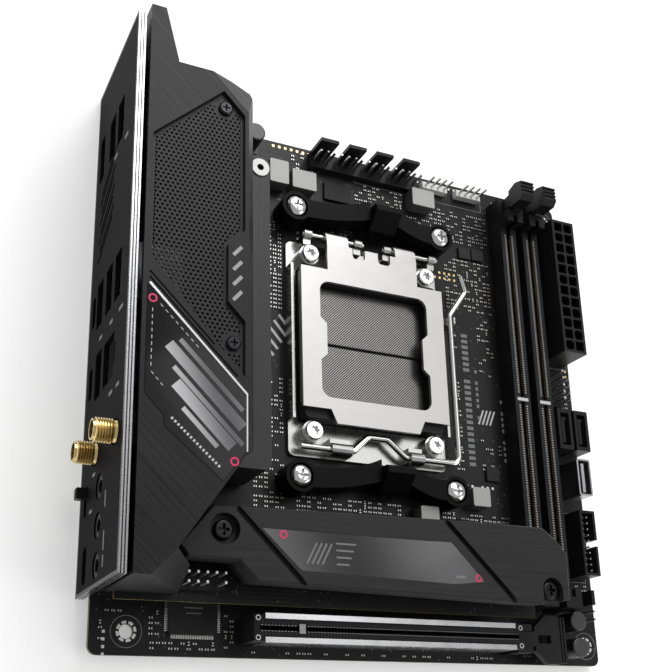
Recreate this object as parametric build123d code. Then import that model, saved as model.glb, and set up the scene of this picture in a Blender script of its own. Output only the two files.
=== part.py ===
from build123d import *
import math
import os

# A compact 170 mm square computer motherboard, millimetres, +Z up.
# Sizes below are given from the rear lower corner of the circuit board's TOP face:
# X runs from the rear connectors to the memory slots, Y from the expansion slot to the
# fan headers, Z up.  place() then moves every piece into the part's own frame, whose
# origin lies on the board's underside, midway between the two case screws beside the slot.

# ---- circuit board -------------------------------------------------------------------
BOARD_X = 170.18
BOARD_Y = 170.18
BOARD_T = 1.6
CORNER_R = 2.5
CASE_HOLE_R = 1.98
HOLE_REAR_X = 10.16
HOLE_TOP_REAR_X = 33.02
HOLE_FRONT_INSET = 5.08
HOLE_BOTTOM_Y = 6.35
HOLE_TOP_INSET = 6.35
FIT = 0.05               # radial clearance of a shaft in its hole
GAP = 0.3                # clearance round a connector in a cut-out

# ---- rear plate ----------------------------------------------------------------------
PLATE_LENGTH = 157.7
PLATE_HEIGHT = 44.45
PLATE_T = 1.2
PLATE_Y0 = 14.8
PLATE_Z0 = -3.84
PLATE_X0 = -3.1
RIM_WALL = 1.0
RIM_DEPTH = 2.2
RIM_GROOVES = (0.5, 1.3)   # grooves round the rim, from the plate's outer face
RIM_GROOVE_W = 0.35
RIM_GROOVE_DEPTH = 0.25
LOUVRE_COUNT = 8
LOUVRE_PITCH = 3.1
LOUVRE_WIDTH = 1.3
LOUVRE_LENGTH = 17.0
LOUVRE_TILT = 28.0

# ---- rear connectors -----------------------------------------------------------------
PORT_X0 = -1.7           # front face of the connectors, just behind the plate
PORT_DEPTH = 15.0
PORT_CAVITY = 9.0
USB_A_W = 13.2
USB_A_H = 6.0
USB_TONGUE_W = 11.1
USB_TONGUE_H = 1.9
USB_C_W = 8.9
USB_C_H = 3.2
HDMI_W = 14.4
HDMI_H = 4.6
LAN_W = 12.2
LAN_H = 10.4
DISPLAY_Y = 146.5
DISPLAY_Z = (3.1, 15.3, 24.6)
USB_Y = 96.2
USB_Z = (1.9, 8.9, 19.3, 28.9)
NET_Y = 74.2
NET_Z = (1.9, 10.6, 22.2)
STACK_WALL = 1.6
ANTENNA_Y = 51.4
ANTENNA_Z = (11.5, 32.3)
ANTENNA_R = 3.175
ANTENNA_LENGTH = 5.9
ANTENNA_TEETH = 7
AUDIO_Y = (20.3, 30.6, 40.9)
AUDIO_Z = 17.9
AUDIO_R = 3.4
AUDIO_BORE_R = 1.85
AUDIO_DEPTH = 9.2
OVAL_Y = 22.3
OVAL_Z = 4.9
SWITCH_Y = 40.2          # middle of the slide switch's slot
SWITCH_Z = 2.9
SWITCH_SLOT_W = 8.4
SWITCH_SLOT_H = 2.8
SLIDER_W = 3.2
SLIDER_H = 2.5
SLIDER_OUT = 3.0
SWITCH_TRAVEL = 4.0

# ---- rear shroud, grille and its fan ---------------------------------------------------
SHROUD_X0 = 0.4
SHROUD_TOP = 41.0
SHROUD_WALL = 1.8
SHROUD_SHOULDER_Z = 34.0
SHROUD_FOOT_X = 18.9     # stops short of the audio header
SHROUD_SIDE_X = 33.4
SHROUD_BACK_Y = 159.3
SHROUD_FIN_Y = 175.0
SHROUD_GROOVES = ((14.1, 79.1, 34.0), (10.9, 83.9, 25.0))
SHROUD_GROOVE_W = 0.7
GRILLE_T = 1.0
GRILLE_RECESS = 1.2
GRILLE_HOLE_R = 0.55
GRILLE_PITCH = 2.15
GRILLE_SCREWS = ((22.7, 147.4), (25.3, 76.6))
PANEL_T = 0.4
TRIM_GAP = 0.1
TRIM_W = 0.4
TRIM_RISE = 0.2
FAN_X = 15.8
FAN_Y = 126.0
FAN_SIZE = 24.0
FAN_T = 7.6
FAN_BORE_R = 11.0
FAN_GAP = 0.6
FAN_HUB_R = 4.6
FAN_HUB_T = 5.2
FAN_PIN_R = 0.9
FAN_BLADES = 7
FAN_BLADE_T = 0.8

# ---- regulator heatsink ---------------------------------------------------------------
SINK_X0 = 20.0
SINK_X1 = 44.6
SINK_Y0 = 49.4
SINK_Y1 = 149.0
SINK_Z0 = 2.2
SINK_TOP = 20.0
SINK_FIN_T = 1.4
SINK_FIN_PITCH = 3.2
SINK_FIN_DEPTH = 9.0
SINK_FIN_COUNT = 4
WASHER_X = 41.4
WASHER_Y = 145.0
STAGE_T = 1.0            # thickness of the power stages under the pad
STAGE_PITCH = 11.5

# ---- processor socket -----------------------------------------------------------------
SOCKET_X = 86.1
SOCKET_Y = 97.45
COOLER_DX = 54.0
COOLER_DY = 90.0
POST_R = 2.9
SOCKET_SCREW_DX = 43.2
SOCKET_SCREW_DY = 59.8
SOCKET_POST_R = 1.9
SCREW_SEAT = 5.2
BODY_HALF_X = 24.6
BODY_HALF_Y = 25.8
BODY_TOP = 6.6
WELL_HALF = 20.2
WELL_FLOOR = 3.0
FRAME_HALF_X = 28.1
FRAME_Y0 = 60.5
FRAME_Y1 = 133.0
FRAME_T = 1.4
FRAME_LIP_T = 0.9
FRAME_LIP_TOP = 5.2
PLATE_TOP = 8.4          # top of the load plate
LOAD_T = 1.1
LOAD_HALF_X = 26.0
LOAD_Y0 = 70.0
LOAD_Y1 = 131.0
WINDOW_HALF = 19.6
HINGE_Y = 134.4
HINGE_Z = 5.4
HINGE_R = 0.8
LEVER_R = 1.0
LEVER_Y = 62.8
LEVER_Z = 4.6
LEVER_X = 117.2
LEVER_HUMP = 5.2
LEVER_HOOK_Y = 113.6
BRACKET_TOP = 8.4
BRACKET_LUG_R = 5.0
STRAP_T = 7.0
STRAP_DROP = 3.4
STRAP_RISE = 3.6
STRAP_CLIMB = 4.2
BRACKET_BLOCK_W = 9.6
BRACKET_BLOCK_OFFSET = 5.0
BACKPLATE_T = 2.0
INSULATOR_T = 0.4
BACKPLATE_MARGIN = 6.0

# ---- memory slots ---------------------------------------------------------------------
DIMM_PITCH = 9.4
DIMM_LAST_INSET = 17.98  # from the front edge of the board to the last slot's middle
DIMM_Y0 = 17.0
DIMM_LENGTH = 142.0
DIMM_W = 6.4
DIMM_TOP = 7.6
DIMM_GROOVE_W = 1.5
DIMM_GROOVE_DEPTH = 5.4
DIMM_KEY_Y = 87.6
DIMM_TOWER = 6.0
DIMM_TOWER_TOP = 12.5
LATCH_W = 5.4
LATCH_TOP = 20.6
LATCH_PIVOT_Z = 3.6
LATCH_PIN_R = 1.0

# ---- expansion slot -------------------------------------------------------------------
SLOT_X0 = 42.7
SLOT_X1 = 132.3
SLOT_Y = 7.3
SLOT_W = 7.2
SLOT_TOP = 11.2
SLOT_GROOVE_W = 1.8
SLOT_GROOVE_DEPTH = 8.6
SLOT_KEY_X = 57.2
SHIELD_T = 0.4
SHIELD_LIP = 1.5
SLOT_LATCH_LENGTH = 16.6
SLOT_LATCH_PIN_R = 1.1

# ---- raised storage board and its cover -------------------------------------------------
RISER_X0 = 3.2
RISER_X1 = 136.0
RISER_Y0 = 13.1
RISER_Y1 = 37.0
RISER_AUDIO_X = 18.0
RISER_AUDIO_Y1 = 46.6
RISER_TOP = 13.0
RISER_T = 1.4
COVER_TOP = 27.0
COVER_T = 6.2
BASE_INSET = 1.0
BASE_BOTTOM = 15.2
STANDOFF_R = 2.2
STORAGE_X = 112.6
STORAGE_Y = 24.8
STORAGE_W = 15.6
STORAGE_H = 4.2
COVER_GROOVE_W = 1.7
COVER_GROOVE_DEPTH = 1.4
COVER_SCREW_X = 28.3
COVER_SCREW_Y = 30.4
COVER_RECESS_R = 4.2
COVER_RECESS_DEPTH = 2.6
COVER_FRONT_SCREW_X = 132.4
COVER_FRONT_SCREW_Y = 19.6

# ---- front edge and top edge connectors -------------------------------------------------
ATX_X = 163.45
ATX_Y = 131.7
ATX_PITCH = 4.2
ATX_W = 9.6
ATX_TOP = 12.7
ATX_COLUMNS = 12
HEADER_PITCH = 2.54
SATA_W = 5.8
SATA_LENGTH = 14.4
SATA_TOP = 8.4
SATA_X = (159.2, 166.2)
SATA_Y = 78.8
FRONT_C_X = 164.4
FRONT_C_Y = 61.8
FRONT_USB_X = 164.0
FRONT_USB_Y0 = 28.4
FRONT_USB_LENGTH = 21.9
FRONT_USB_W = 6.3
FRONT_USB_TOP = 9.0
FAN_HEADER_X = (72.3, 82.7, 93.1, 103.5)
FAN_HEADER_Y_INSET = 4.7
LED_HEADER_X = (116.2, 130.3)
CAP_R = 3.15
CAP_TOP = 8.4
CHOKE_TOP = 5.0
CAPS = ((45.2, 166.4), (156.6, 13.4), (156.6, 5.0))


def block(x0, x1, y0, y1, z0, z1):
    """A box given by its limits on each axis."""
    size = Box(x1 - x0, y1 - y0, z1 - z0)
    return Pos((x0 + x1) / 2, (y0 + y1) / 2, (z0 + z1) / 2) * size


def rod(x, y, r, z0, z1):
    """An upright cylinder."""
    return Pos(x, y, (z0 + z1) / 2) * Cylinder(r, z1 - z0)


def rod_x(x0, x1, y, z, r):
    """A cylinder along X."""
    return Pos((x0 + x1) / 2, y, z) * Rot(0, 90, 0) * Cylinder(r, x1 - x0)


def rod_y(x, y0, y1, z, r):
    """A cylinder along Y."""
    return Pos(x, (y0 + y1) / 2, z) * Rot(90, 0, 0) * Cylinder(r, y1 - y0)


def prism(points, z0, z1):
    """A straight prism on a closed outline in the XY plane."""
    face = make_face(Polyline(*points, close=True))
    return Pos(0, 0, z0) * extrude(face, z1 - z0)


def profile_x(points, x0, x1):
    """A prism along X on a closed outline of (y, z) points."""
    face = make_face(Polyline(*[(0, y, z) for y, z in points], close=True))
    return Pos(x0, 0, 0) * extrude(face, x1 - x0, dir=(1, 0, 0))


def slab(x, y, w, d, r, z0, z1):
    """A plate with rounded corners, centred on x, y."""
    return Pos(x, y, z0) * extrude(RectangleRounded(w, d, r), z1 - z0)


def cut_above(shape, origin, normal):
    """Keep what lies below a plane."""
    return split(shape, bisect_by=Plane(origin=origin, z_dir=normal), keep=Keep.BOTTOM)


def pins(places, size, z0, z1):
    """A group of square contact pins."""
    return [block(x - size / 2, x + size / 2, y - size / 2, y + size / 2, z0, z1) for x, y in places]


def grid(x, y, columns, rows, pitch_x, pitch_y):
    """Places of a centred grid."""
    return [
        (x + (i - (columns - 1) / 2) * pitch_x, y + (j - (rows - 1) / 2) * pitch_y)
        for i in range(columns)
        for j in range(rows)
    ]


def group(parts):
    """Separate solids kept together in one node."""
    solids = []
    for part in parts:
        solids.extend(part.solids())
    return Compound(solids)


# ---- places worked out from the sizes above ------------------------------------------------
case_holes = [
    (HOLE_REAR_X, HOLE_BOTTOM_Y),
    (BOARD_X - HOLE_FRONT_INSET, HOLE_BOTTOM_Y),
    (HOLE_TOP_REAR_X, BOARD_Y - HOLE_TOP_INSET),
    (BOARD_X - HOLE_FRONT_INSET, BOARD_Y - HOLE_TOP_INSET),
]
cooler_holes = grid(SOCKET_X, SOCKET_Y, 2, 2, COOLER_DX, COOLER_DY)
socket_holes = grid(SOCKET_X, SOCKET_Y, 2, 2, SOCKET_SCREW_DX, SOCKET_SCREW_DY)
PLATE_BACK = PLATE_X0 + PLATE_T
PLATE_Y1 = PLATE_Y0 + PLATE_LENGTH
PLATE_Z1 = PLATE_Z0 + PLATE_HEIGHT
BACKPLATE_TOP = -BOARD_T - INSULATOR_T
BRACKET_SEAT = BRACKET_TOP - 2.0
GRILLE_TOP = SHROUD_TOP - GRILLE_RECESS
GRILLE_BOTTOM = GRILLE_TOP - GRILLE_T
FAN_TOP = GRILLE_BOTTOM
FAN_BOTTOM = FAN_TOP - FAN_T
DIMM_X = (BOARD_X - DIMM_LAST_INSET - DIMM_PITCH, BOARD_X - DIMM_LAST_INSET)
DIMM_Y1 = DIMM_Y0 + DIMM_LENGTH
LATCH_PIVOT_Y = DIMM_Y1 + 2.0
SLOT_PIVOT_X = SLOT_X1 + 3.0
SLOT_PIVOT_Z = 5.6
COVER_BOTTOM = COVER_TOP - COVER_T
STANDOFFS = ((COVER_SCREW_X, COVER_SCREW_Y), (COVER_FRONT_SCREW_X, COVER_FRONT_SCREW_Y))
FRAME_X0 = SOCKET_X - FRAME_HALF_X
FRAME_X1 = SOCKET_X + FRAME_HALF_X
KNUCKLES = ((69.6, 77.4), (95.0, 102.8))
WIRES = ((62.0, 84.2), (91.2, 112.6))
CURLS = ((70.6, 77.6), (98.4, 103.3))


# ---- circuit board and case fixings ---------------------------------------------------------
def main_board():
    board = slab(BOARD_X / 2, BOARD_Y / 2, BOARD_X, BOARD_Y, CORNER_R, -BOARD_T, 0)
    for x, y in case_holes:
        board -= rod(x, y, CASE_HOLE_R, -BOARD_T - 1, 1)
    for x, y in cooler_holes:
        board -= rod(x, y, POST_R + FIT, -BOARD_T - 1, 1)
    for x, y in socket_holes:
        board -= rod(x, y, SOCKET_POST_R + FIT, -BOARD_T - 1, 1)
    return board


def backplate_outline(z0, z1):
    w = COOLER_DX + 2 * BACKPLATE_MARGIN
    d = COOLER_DY + 2 * BACKPLATE_MARGIN
    plate = slab(SOCKET_X, SOCKET_Y, w, d, BACKPLATE_MARGIN - 1, z0, z1)
    plate -= slab(SOCKET_X, SOCKET_Y, 30, 34, 3, z0 - 1, z1 + 1)
    for side in (-1, 1):
        x = SOCKET_X + side * w / 2
        plate -= slab(x, SOCKET_Y, 12, 46, 4, z0 - 1, z1 + 1)
    return plate


def backplate():
    plate = backplate_outline(BACKPLATE_TOP - BACKPLATE_T, BACKPLATE_TOP)
    for x, y in cooler_holes:
        plate += rod(x, y, POST_R, BACKPLATE_TOP - BACKPLATE_T, BRACKET_SEAT - 3.4)
        plate -= rod(x, y, 1.75 + FIT, BACKPLATE_TOP - BACKPLATE_T - 1, BRACKET_SEAT)
    for x, y in socket_holes:
        plate += rod(x, y, SOCKET_POST_R, BACKPLATE_TOP - BACKPLATE_T, 0)
        plate -= rod(x, y, 1.2 + FIT, BACKPLATE_TOP - BACKPLATE_T - 1, 1)
    return plate


def insulator():
    sheet = backplate_outline(BACKPLATE_TOP, -BOARD_T)
    for x, y in cooler_holes:
        sheet -= rod(x, y, POST_R + FIT, BACKPLATE_TOP - 1, 0)
    for x, y in socket_holes:
        sheet -= rod(x, y, SOCKET_POST_R + FIT, BACKPLATE_TOP - 1, 0)
    return sheet


# ---- rear plate and its rim ---------------------------------------------------------------
def cut_x(y, z, w, h, r):
    """A rounded cut-out through the rear plate."""
    shape = Rot(0, 90, 0) * extrude(RectangleRounded(h, w, r), PLATE_T + 2)
    return Pos(PLATE_X0 - 1, y, z) * shape


def port_cuts():
    """Every cut-out of the rear plate, clear of the connector behind it."""
    cuts = []
    cuts.append(cut_x(DISPLAY_Y, DISPLAY_Z[0], HDMI_W + 2 * GAP, HDMI_H + 2 * GAP, 0.8))
    for z in DISPLAY_Z[1:]:
        cuts.append(cut_x(DISPLAY_Y, z, USB_A_W + 2 * GAP, USB_A_H + 2 * GAP, 0.6))
    cuts.append(cut_x(USB_Y, USB_Z[0], USB_C_W + 2 * GAP, USB_C_H + 2 * GAP, USB_C_H / 2))
    for z in USB_Z[1:]:
        cuts.append(cut_x(USB_Y, z, USB_A_W + 2 * GAP, USB_A_H + 2 * GAP, 0.6))
    cuts.append(cut_x(NET_Y, NET_Z[0], USB_C_W + 2 * GAP, USB_C_H + 2 * GAP, USB_C_H / 2))
    cuts.append(cut_x(NET_Y, NET_Z[1], USB_A_W + 2 * GAP, USB_A_H + 2 * GAP, 0.6))
    cuts.append(cut_x(NET_Y, NET_Z[2], LAN_W + 2 * GAP, LAN_H + 2 * GAP, 0.4))
    cuts.append(cut_x(NET_Y, NET_Z[2] + LAN_H / 2 + 0.6, 5.4, 2.6, 0.3))
    cuts.append(cut_x(OVAL_Y, OVAL_Z, USB_C_W + 1.2, USB_C_H + 1.2, 2.0))
    cuts.append(cut_x(SWITCH_Y, SWITCH_Z, SWITCH_SLOT_W, SWITCH_SLOT_H, 0.3))
    for y in AUDIO_Y:
        cuts.append(rod_x(PLATE_X0 - 1, PLATE_BACK + 1, y, AUDIO_Z, AUDIO_R + FIT))
    for z in ANTENNA_Z:
        cuts.append(rod_x(PLATE_X0 - 1, PLATE_BACK + 1, ANTENNA_Y, z, ANTENNA_R + GAP))
    return cuts


def louvre_cuts():
    """Slanted air slots level with the fan."""
    cuts = []
    for i in range(LOUVRE_COUNT):
        y = FAN_Y + (i - (LOUVRE_COUNT - 1) / 2) * LOUVRE_PITCH
        z = 11.5 + (i % 2) * 1.4
        slot = Box(PLATE_T + 2, LOUVRE_WIDTH, LOUVRE_LENGTH)
        cuts.append(Pos(PLATE_X0 + PLATE_T / 2, y, z) * Rot(-LOUVRE_TILT, 0, 0) * slot)
    return cuts


def io_plate():
    plate = block(
        PLATE_X0, PLATE_BACK, PLATE_Y0 + RIM_WALL, PLATE_Y1 - RIM_WALL, PLATE_Z0 + RIM_WALL, PLATE_Z1 - RIM_WALL
    )
    for cut in port_cuts() + louvre_cuts():
        plate -= cut
    return plate


def io_rim():
    back = PLATE_X0 + RIM_DEPTH
    rim = block(PLATE_X0, back, PLATE_Y0, PLATE_Y1, PLATE_Z0, PLATE_Z1)
    rim -= block(
        PLATE_X0 - 1, back + 1, PLATE_Y0 + RIM_WALL, PLATE_Y1 - RIM_WALL, PLATE_Z0 + RIM_WALL, PLATE_Z1 - RIM_WALL
    )
    for start in RIM_GROOVES:
        x0 = PLATE_X0 + start
        x1 = x0 + RIM_GROOVE_W
        band = block(x0, x1, PLATE_Y0 - 1, PLATE_Y1 + 1, PLATE_Z0 - 1, PLATE_Z1 + 1)
        d = RIM_GROOVE_DEPTH
        rim -= band - block(x0 - 1, x1 + 1, PLATE_Y0 + d, PLATE_Y1 - d, PLATE_Z0 + d, PLATE_Z1 - d)
    return rim


# ---- rear connectors ----------------------------------------------------------------------
def cavity(y, z, w, h, r, depth=PORT_CAVITY):
    """A hollow that opens towards the rear."""
    shape = Rot(0, 90, 0) * extrude(RectangleRounded(h, w, r), depth + 1)
    return Pos(PORT_X0 - 1, y, z) * shape


def tongue(y, z, w, h, reach=PORT_CAVITY - 1.5):
    """The contact tongue inside a port, rooted in the port's back wall."""
    x1 = PORT_X0 + PORT_CAVITY + 0.5
    return block(x1 - reach, x1, y - w / 2, y + w / 2, z - h / 2, z + h / 2)


def connector_body(y, w, top):
    return block(PORT_X0, PORT_X0 + PORT_DEPTH, y - w / 2, y + w / 2, 0, top)


def usb_a(body, y, z):
    body -= cavity(y, z, USB_A_W, USB_A_H, 0.4)
    return body + tongue(y, z + 0.9, USB_TONGUE_W, USB_TONGUE_H)


def usb_c(body, y, z):
    body -= cavity(y, z, USB_C_W, USB_C_H, USB_C_H / 2 - 0.01, 6.5)
    x1 = PORT_X0 + 7.0
    return body + block(x1 - 5.5, x1, y - 3.3, y + 3.3, z - 0.35, z + 0.35)


def display_stack():
    body = connector_body(DISPLAY_Y, USB_A_W + 2 * STACK_WALL, DISPLAY_Z[2] + USB_A_H / 2 + STACK_WALL)
    body -= cavity(DISPLAY_Y, DISPLAY_Z[0], HDMI_W, HDMI_H, 0.6)
    body += tongue(DISPLAY_Y, DISPLAY_Z[0], 11.5, 1.4)
    for z in DISPLAY_Z[1:]:
        body = usb_a(body, DISPLAY_Y, z)
    return body


def usb_stack():
    body = connector_body(USB_Y, USB_A_W + 2 * STACK_WALL, USB_Z[3] + USB_A_H / 2 + STACK_WALL)
    body = usb_c(body, USB_Y, USB_Z[0])
    for z in USB_Z[1:]:
        body = usb_a(body, USB_Y, z)
    return body


def lan_stack():
    body = connector_body(NET_Y, USB_A_W + 2 * STACK_WALL, NET_Z[2] + LAN_H / 2 + 3.2)
    body = usb_c(body, NET_Y, NET_Z[0])
    body = usb_a(body, NET_Y, NET_Z[1])
    body -= cavity(NET_Y, NET_Z[2], LAN_W, LAN_H, 0.3, 11.0)
    body -= cavity(NET_Y, NET_Z[2] + LAN_H / 2 + 0.6, 5.2, 2.4, 0.2, 11.0)
    return body


def antenna_jack(z):
    """A threaded coaxial jack: grooved barrel, hollow mouth and centre pin."""
    x0 = PLATE_X0 - ANTENNA_LENGTH
    x1 = PORT_X0
    step = (ANTENNA_LENGTH - 1.2) / ANTENNA_TEETH
    crest = ANTENNA_R
    root = ANTENNA_R - 0.35
    outline = [(0, x0), (2.75, x0), (root, x0 + 0.6)]
    for i in range(ANTENNA_TEETH):
        base = x0 + 0.6 + i * step
        outline.append((crest, base + step * 0.35))
        outline.append((crest, base + step * 0.65))
        outline.append((root, base + step))
    outline.append((crest, x1 - 0.8))
    outline.append((crest, x1))
    outline.append((0, x1))
    face = make_face(Polyline(*[(r, 0, x) for r, x in outline], close=True))
    barrel = revolve(face, Axis.Z)
    barrel -= Pos(0, 0, x0 + 2.0) * Cylinder(2.3, 4.4)
    barrel += Pos(0, 0, x0 + 2.4) * Cylinder(0.5, 3.8)
    return Pos(0, ANTENNA_Y, z) * Rot(0, 90, 0) * barrel


def antenna_jacks():
    return group([antenna_jack(z) for z in ANTENNA_Z])


def antenna_base():
    return block(PORT_X0, PORT_X0 + 9, ANTENNA_Y - 4.4, ANTENNA_Y + 4.4, 0, ANTENNA_Z[1] + 5)


def audio_jacks():
    y0 = AUDIO_Y[0] - AUDIO_R
    y1 = AUDIO_Y[2] + AUDIO_R + 1
    body = block(PORT_X0, PORT_X0 + AUDIO_DEPTH, y0, y1, RISER_TOP, AUDIO_Z + 5.0)
    for y in AUDIO_Y:
        body += rod_x(PLATE_X0 + 0.4, PORT_X0 + 1, y, AUDIO_Z, AUDIO_R)
        body -= rod_x(PLATE_X0 - 1, PORT_X0 + AUDIO_DEPTH - 1.2, y, AUDIO_Z, AUDIO_BORE_R)
    return body


def rear_usb_c():
    body = block(PORT_X0, PORT_X0 + 9, OVAL_Y - 5.6, OVAL_Y + 5.6, 0, OVAL_Z + 3)
    return usb_c(body, OVAL_Y, OVAL_Z)


def switch_base():
    body = block(PORT_X0, PORT_X0 + 7, SWITCH_Y - 6, SWITCH_Y + 5.6, 0, SWITCH_Z + 3)
    slot_w = SWITCH_TRAVEL + SLIDER_W + 2 * GAP
    slot_h = SLIDER_H + 4 * FIT
    body -= Pos(PORT_X0 + 1.5, SWITCH_Y, SWITCH_Z) * Box(5.0, slot_w, slot_h)
    return body


def switch_slider():
    """Rests at the +Y end of its slot and slides towards -Y."""
    y = SWITCH_Y + SWITCH_TRAVEL / 2
    x0 = PLATE_X0 - SLIDER_OUT
    x1 = PORT_X0 + 3.8
    knob = block(x0, x1, y - SLIDER_W / 2, y + SLIDER_W / 2, SWITCH_Z - SLIDER_H / 2, SWITCH_Z + SLIDER_H / 2)
    return chamfer(knob.faces().sort_by(Axis.X)[0].edges(), 0.35)


# ---- shroud over the rear connectors ---------------------------------------------------------
def shroud_outline(inset):
    """Plan of the shroud's main body, drawn in by the wall for its hollow."""
    points = [
        (SHROUD_X0, PLATE_Y0 + 0.1),
        (SHROUD_FOOT_X, PLATE_Y0 + 0.1),
        (SHROUD_FOOT_X, 20.4),
        (11.2, 21.6),
        (28.9, 46.6),
        (SHROUD_SIDE_X, 50.0),
        (SHROUD_SIDE_X, 156.6),
        (32.6, SHROUD_BACK_Y),
        (SHROUD_X0, SHROUD_BACK_Y),
    ]
    face = make_face(Polyline(*points, close=True))
    if inset:
        face = offset(face, amount=-inset, kind=Kind.INTERSECTION)
    return face


def shroud_form(inset, z0):
    """The shroud's outer form: a prism with its shoulders cut to four sloping facets."""
    drop = SHROUD_TOP - SHROUD_SHOULDER_Z
    form = Pos(0, 0, z0) * extrude(shroud_outline(inset), SHROUD_TOP - inset - z0)
    facets = [
        ((SHROUD_SIDE_X - 4.0, 0, SHROUD_TOP), (drop, 0, 4.0)),
        ((18.6, 158.2, SHROUD_TOP), (drop * 0.7, drop * 0.7, 10.4)),
        ((0, 158.2, SHROUD_TOP), (0, drop, 2.1)),
        ((4.6, PLATE_Y0, SHROUD_TOP), (0.652, -0.64, 0.403)),
    ]
    for origin, normal in facets:
        n = Vector(*normal).normalized()
        shifted = Vector(*origin) - n * inset
        form = cut_above(form, (shifted.X, shifted.Y, shifted.Z), (n.X, n.Y, n.Z))
    return form


def grille_outline(shrink):
    points = [
        (22.0, 152.6),
        (28.3, 146.0),
        (28.3, 109.8),
        (23.5, 104.8),
        (23.5, 88.0),
        (28.3, 83.0),
        (28.3, 67.4),
        (20.6, 75.2),
        (1.9, 97.6),
        (1.9, 133.8),
    ]
    face = make_face(Polyline(*points, close=True))
    if shrink:
        face = offset(face, amount=-shrink, kind=Kind.INTERSECTION)
    return face


def panel_outline(shrink):
    points = [
        (1.6, 89.2),
        (28.5, 62.3),
        (28.5, 47.2),
        (22.4, 39.0),
        (7.0, 51.4),
        (6.6, 54.4),
        (1.6, 59.6),
    ]
    face = make_face(Polyline(*points, close=True))
    if shrink:
        face = offset(face, amount=-shrink, kind=Kind.INTERSECTION)
    return face


def io_shroud():
    shell = shroud_form(0, 0.4)
    fin = [
        (SHROUD_X0, 150),
        (SHROUD_X0, SHROUD_FIN_Y),
        (4.6, SHROUD_FIN_Y),
        (8.6, 158.6),
        (8.6, 150),
    ]
    shell += prism(fin, 0.4, SHROUD_TOP)
    hollow = shroud_form(SHROUD_WALL, -1)
    shell -= hollow
    # the whole rear side is open to the connectors, and so is the fin
    shell -= block(-1, 4.2, PLATE_Y0 + 1.6, 157.0, -1, SHROUD_TOP - SHROUD_WALL)
    # clear of the raised board, of the heatsink's top and of the power connector
    shell -= block(-1, 60, 0, RISER_AUDIO_Y1 + 1.4, -1, RISER_TOP)
    shell -= block(15, 60, SINK_Y0 - 0.6, SINK_Y1 + 0.6, -1, SINK_TOP)
    # window for the grille with a ledge below it, and a shallow seat for the glossy panel
    shell -= Pos(0, 0, GRILLE_TOP - GRILLE_T) * extrude(grille_outline(0), 5)
    shell -= Pos(0, 0, SHROUD_TOP - 4) * extrude(grille_outline(1.4), 6)
    shell -= Pos(0, 0, SHROUD_TOP - PANEL_T) * extrude(panel_outline(0), 2)
    # two diagonal grooves between the grille and the panel
    for x, y, length in SHROUD_GROOVES:
        shell -= Pos(x, y, SHROUD_TOP) * Rot(0, 0, -45) * Box(length, SHROUD_GROOVE_W, SHROUD_GROOVE_W)
    return max(shell.solids(), key=lambda s: s.volume)


def vrm_grille():
    face = grille_outline(FIT)
    holes = []
    columns = int(28 / GRILLE_PITCH)
    row_step = GRILLE_PITCH * math.sqrt(3) / 2
    rows = int(90 / row_step)
    field = grille_outline(1.3)
    for j in range(rows):
        for i in range(columns):
            x = 3.9 + (i + 0.5 * (j % 2)) * GRILLE_PITCH
            y = 67.5 + j * row_step
            near_screw = any(math.hypot(x - sx, y - sy) < 2.9 for sx, sy in GRILLE_SCREWS)
            if not near_screw and field.is_inside(Vector(x, y, 0)):
                holes.append(Pos(x, y) * Circle(GRILLE_HOLE_R))
    plate = Pos(0, 0, GRILLE_BOTTOM) * extrude(face - holes, GRILLE_T)
    for x, y in GRILLE_SCREWS:
        plate -= rod(x, y, 1.0 + FIT, GRILLE_BOTTOM - 1, GRILLE_TOP + 1)
    return plate


def cross_recess(shape, x, y, top, arm, width, depth):
    """A cross recess in a screw head."""
    for w, d in ((arm, width), (width, arm)):
        shape -= block(x - w / 2, x + w / 2, y - d / 2, y + d / 2, top - depth, top + 1)
    return shape



def grille_screws():
    screws = []
    for x, y in GRILLE_SCREWS:
        head = rod(x, y, 2.0, GRILLE_TOP, GRILLE_TOP + 1.1)
        head = chamfer(head.edges().sort_by(Axis.Z)[-1], 0.4)
        head += rod(x, y, 1.0, GRILLE_BOTTOM, GRILLE_TOP)
        screws.append(cross_recess(head, x, y, GRILLE_TOP + 1.1, 2.2, 0.5, 0.8))
    return group(screws)


def panel_trim():
    """Bright strip along the two outer edges of the glossy panel."""
    near = TRIM_GAP
    far = TRIM_GAP + TRIM_W
    band = [
        (1.9 + near, 89.2),
        (28.5 + near, 62.3 + near),
        (28.5 + near, 47.2),
        (28.5 + far, 47.2),
        (28.5 + far, 62.3 + far),
        (1.9 + far, 89.2 + far),
    ]
    return prism(band, SHROUD_TOP, SHROUD_TOP + TRIM_RISE)


def gloss_panel():
    return Pos(0, 0, SHROUD_TOP - PANEL_T) * extrude(panel_outline(FIT), PANEL_T + 0.15)


def fan_frame():
    half = FAN_SIZE / 2
    frame = slab(FAN_X, FAN_Y, FAN_SIZE, FAN_SIZE, 2.5, FAN_BOTTOM, FAN_TOP)
    frame -= rod(FAN_X, FAN_Y, FAN_BORE_R + FAN_GAP, FAN_BOTTOM - 1, FAN_TOP + 1)
    frame += rod(FAN_X, FAN_Y, FAN_HUB_R, FAN_BOTTOM, FAN_BOTTOM + 0.8)
    for angle in (0, 120, 240):
        arm = Pos(FAN_X, FAN_Y, FAN_BOTTOM + 0.4) * Rot(0, 0, angle) * Pos(half / 2, 0, 0)
        frame += arm * Box(half, 1.8, 0.8)
    frame += rod(FAN_X, FAN_Y, FAN_PIN_R, FAN_BOTTOM, FAN_BOTTOM + FAN_GAP + FAN_HUB_T)
    return frame


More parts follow.
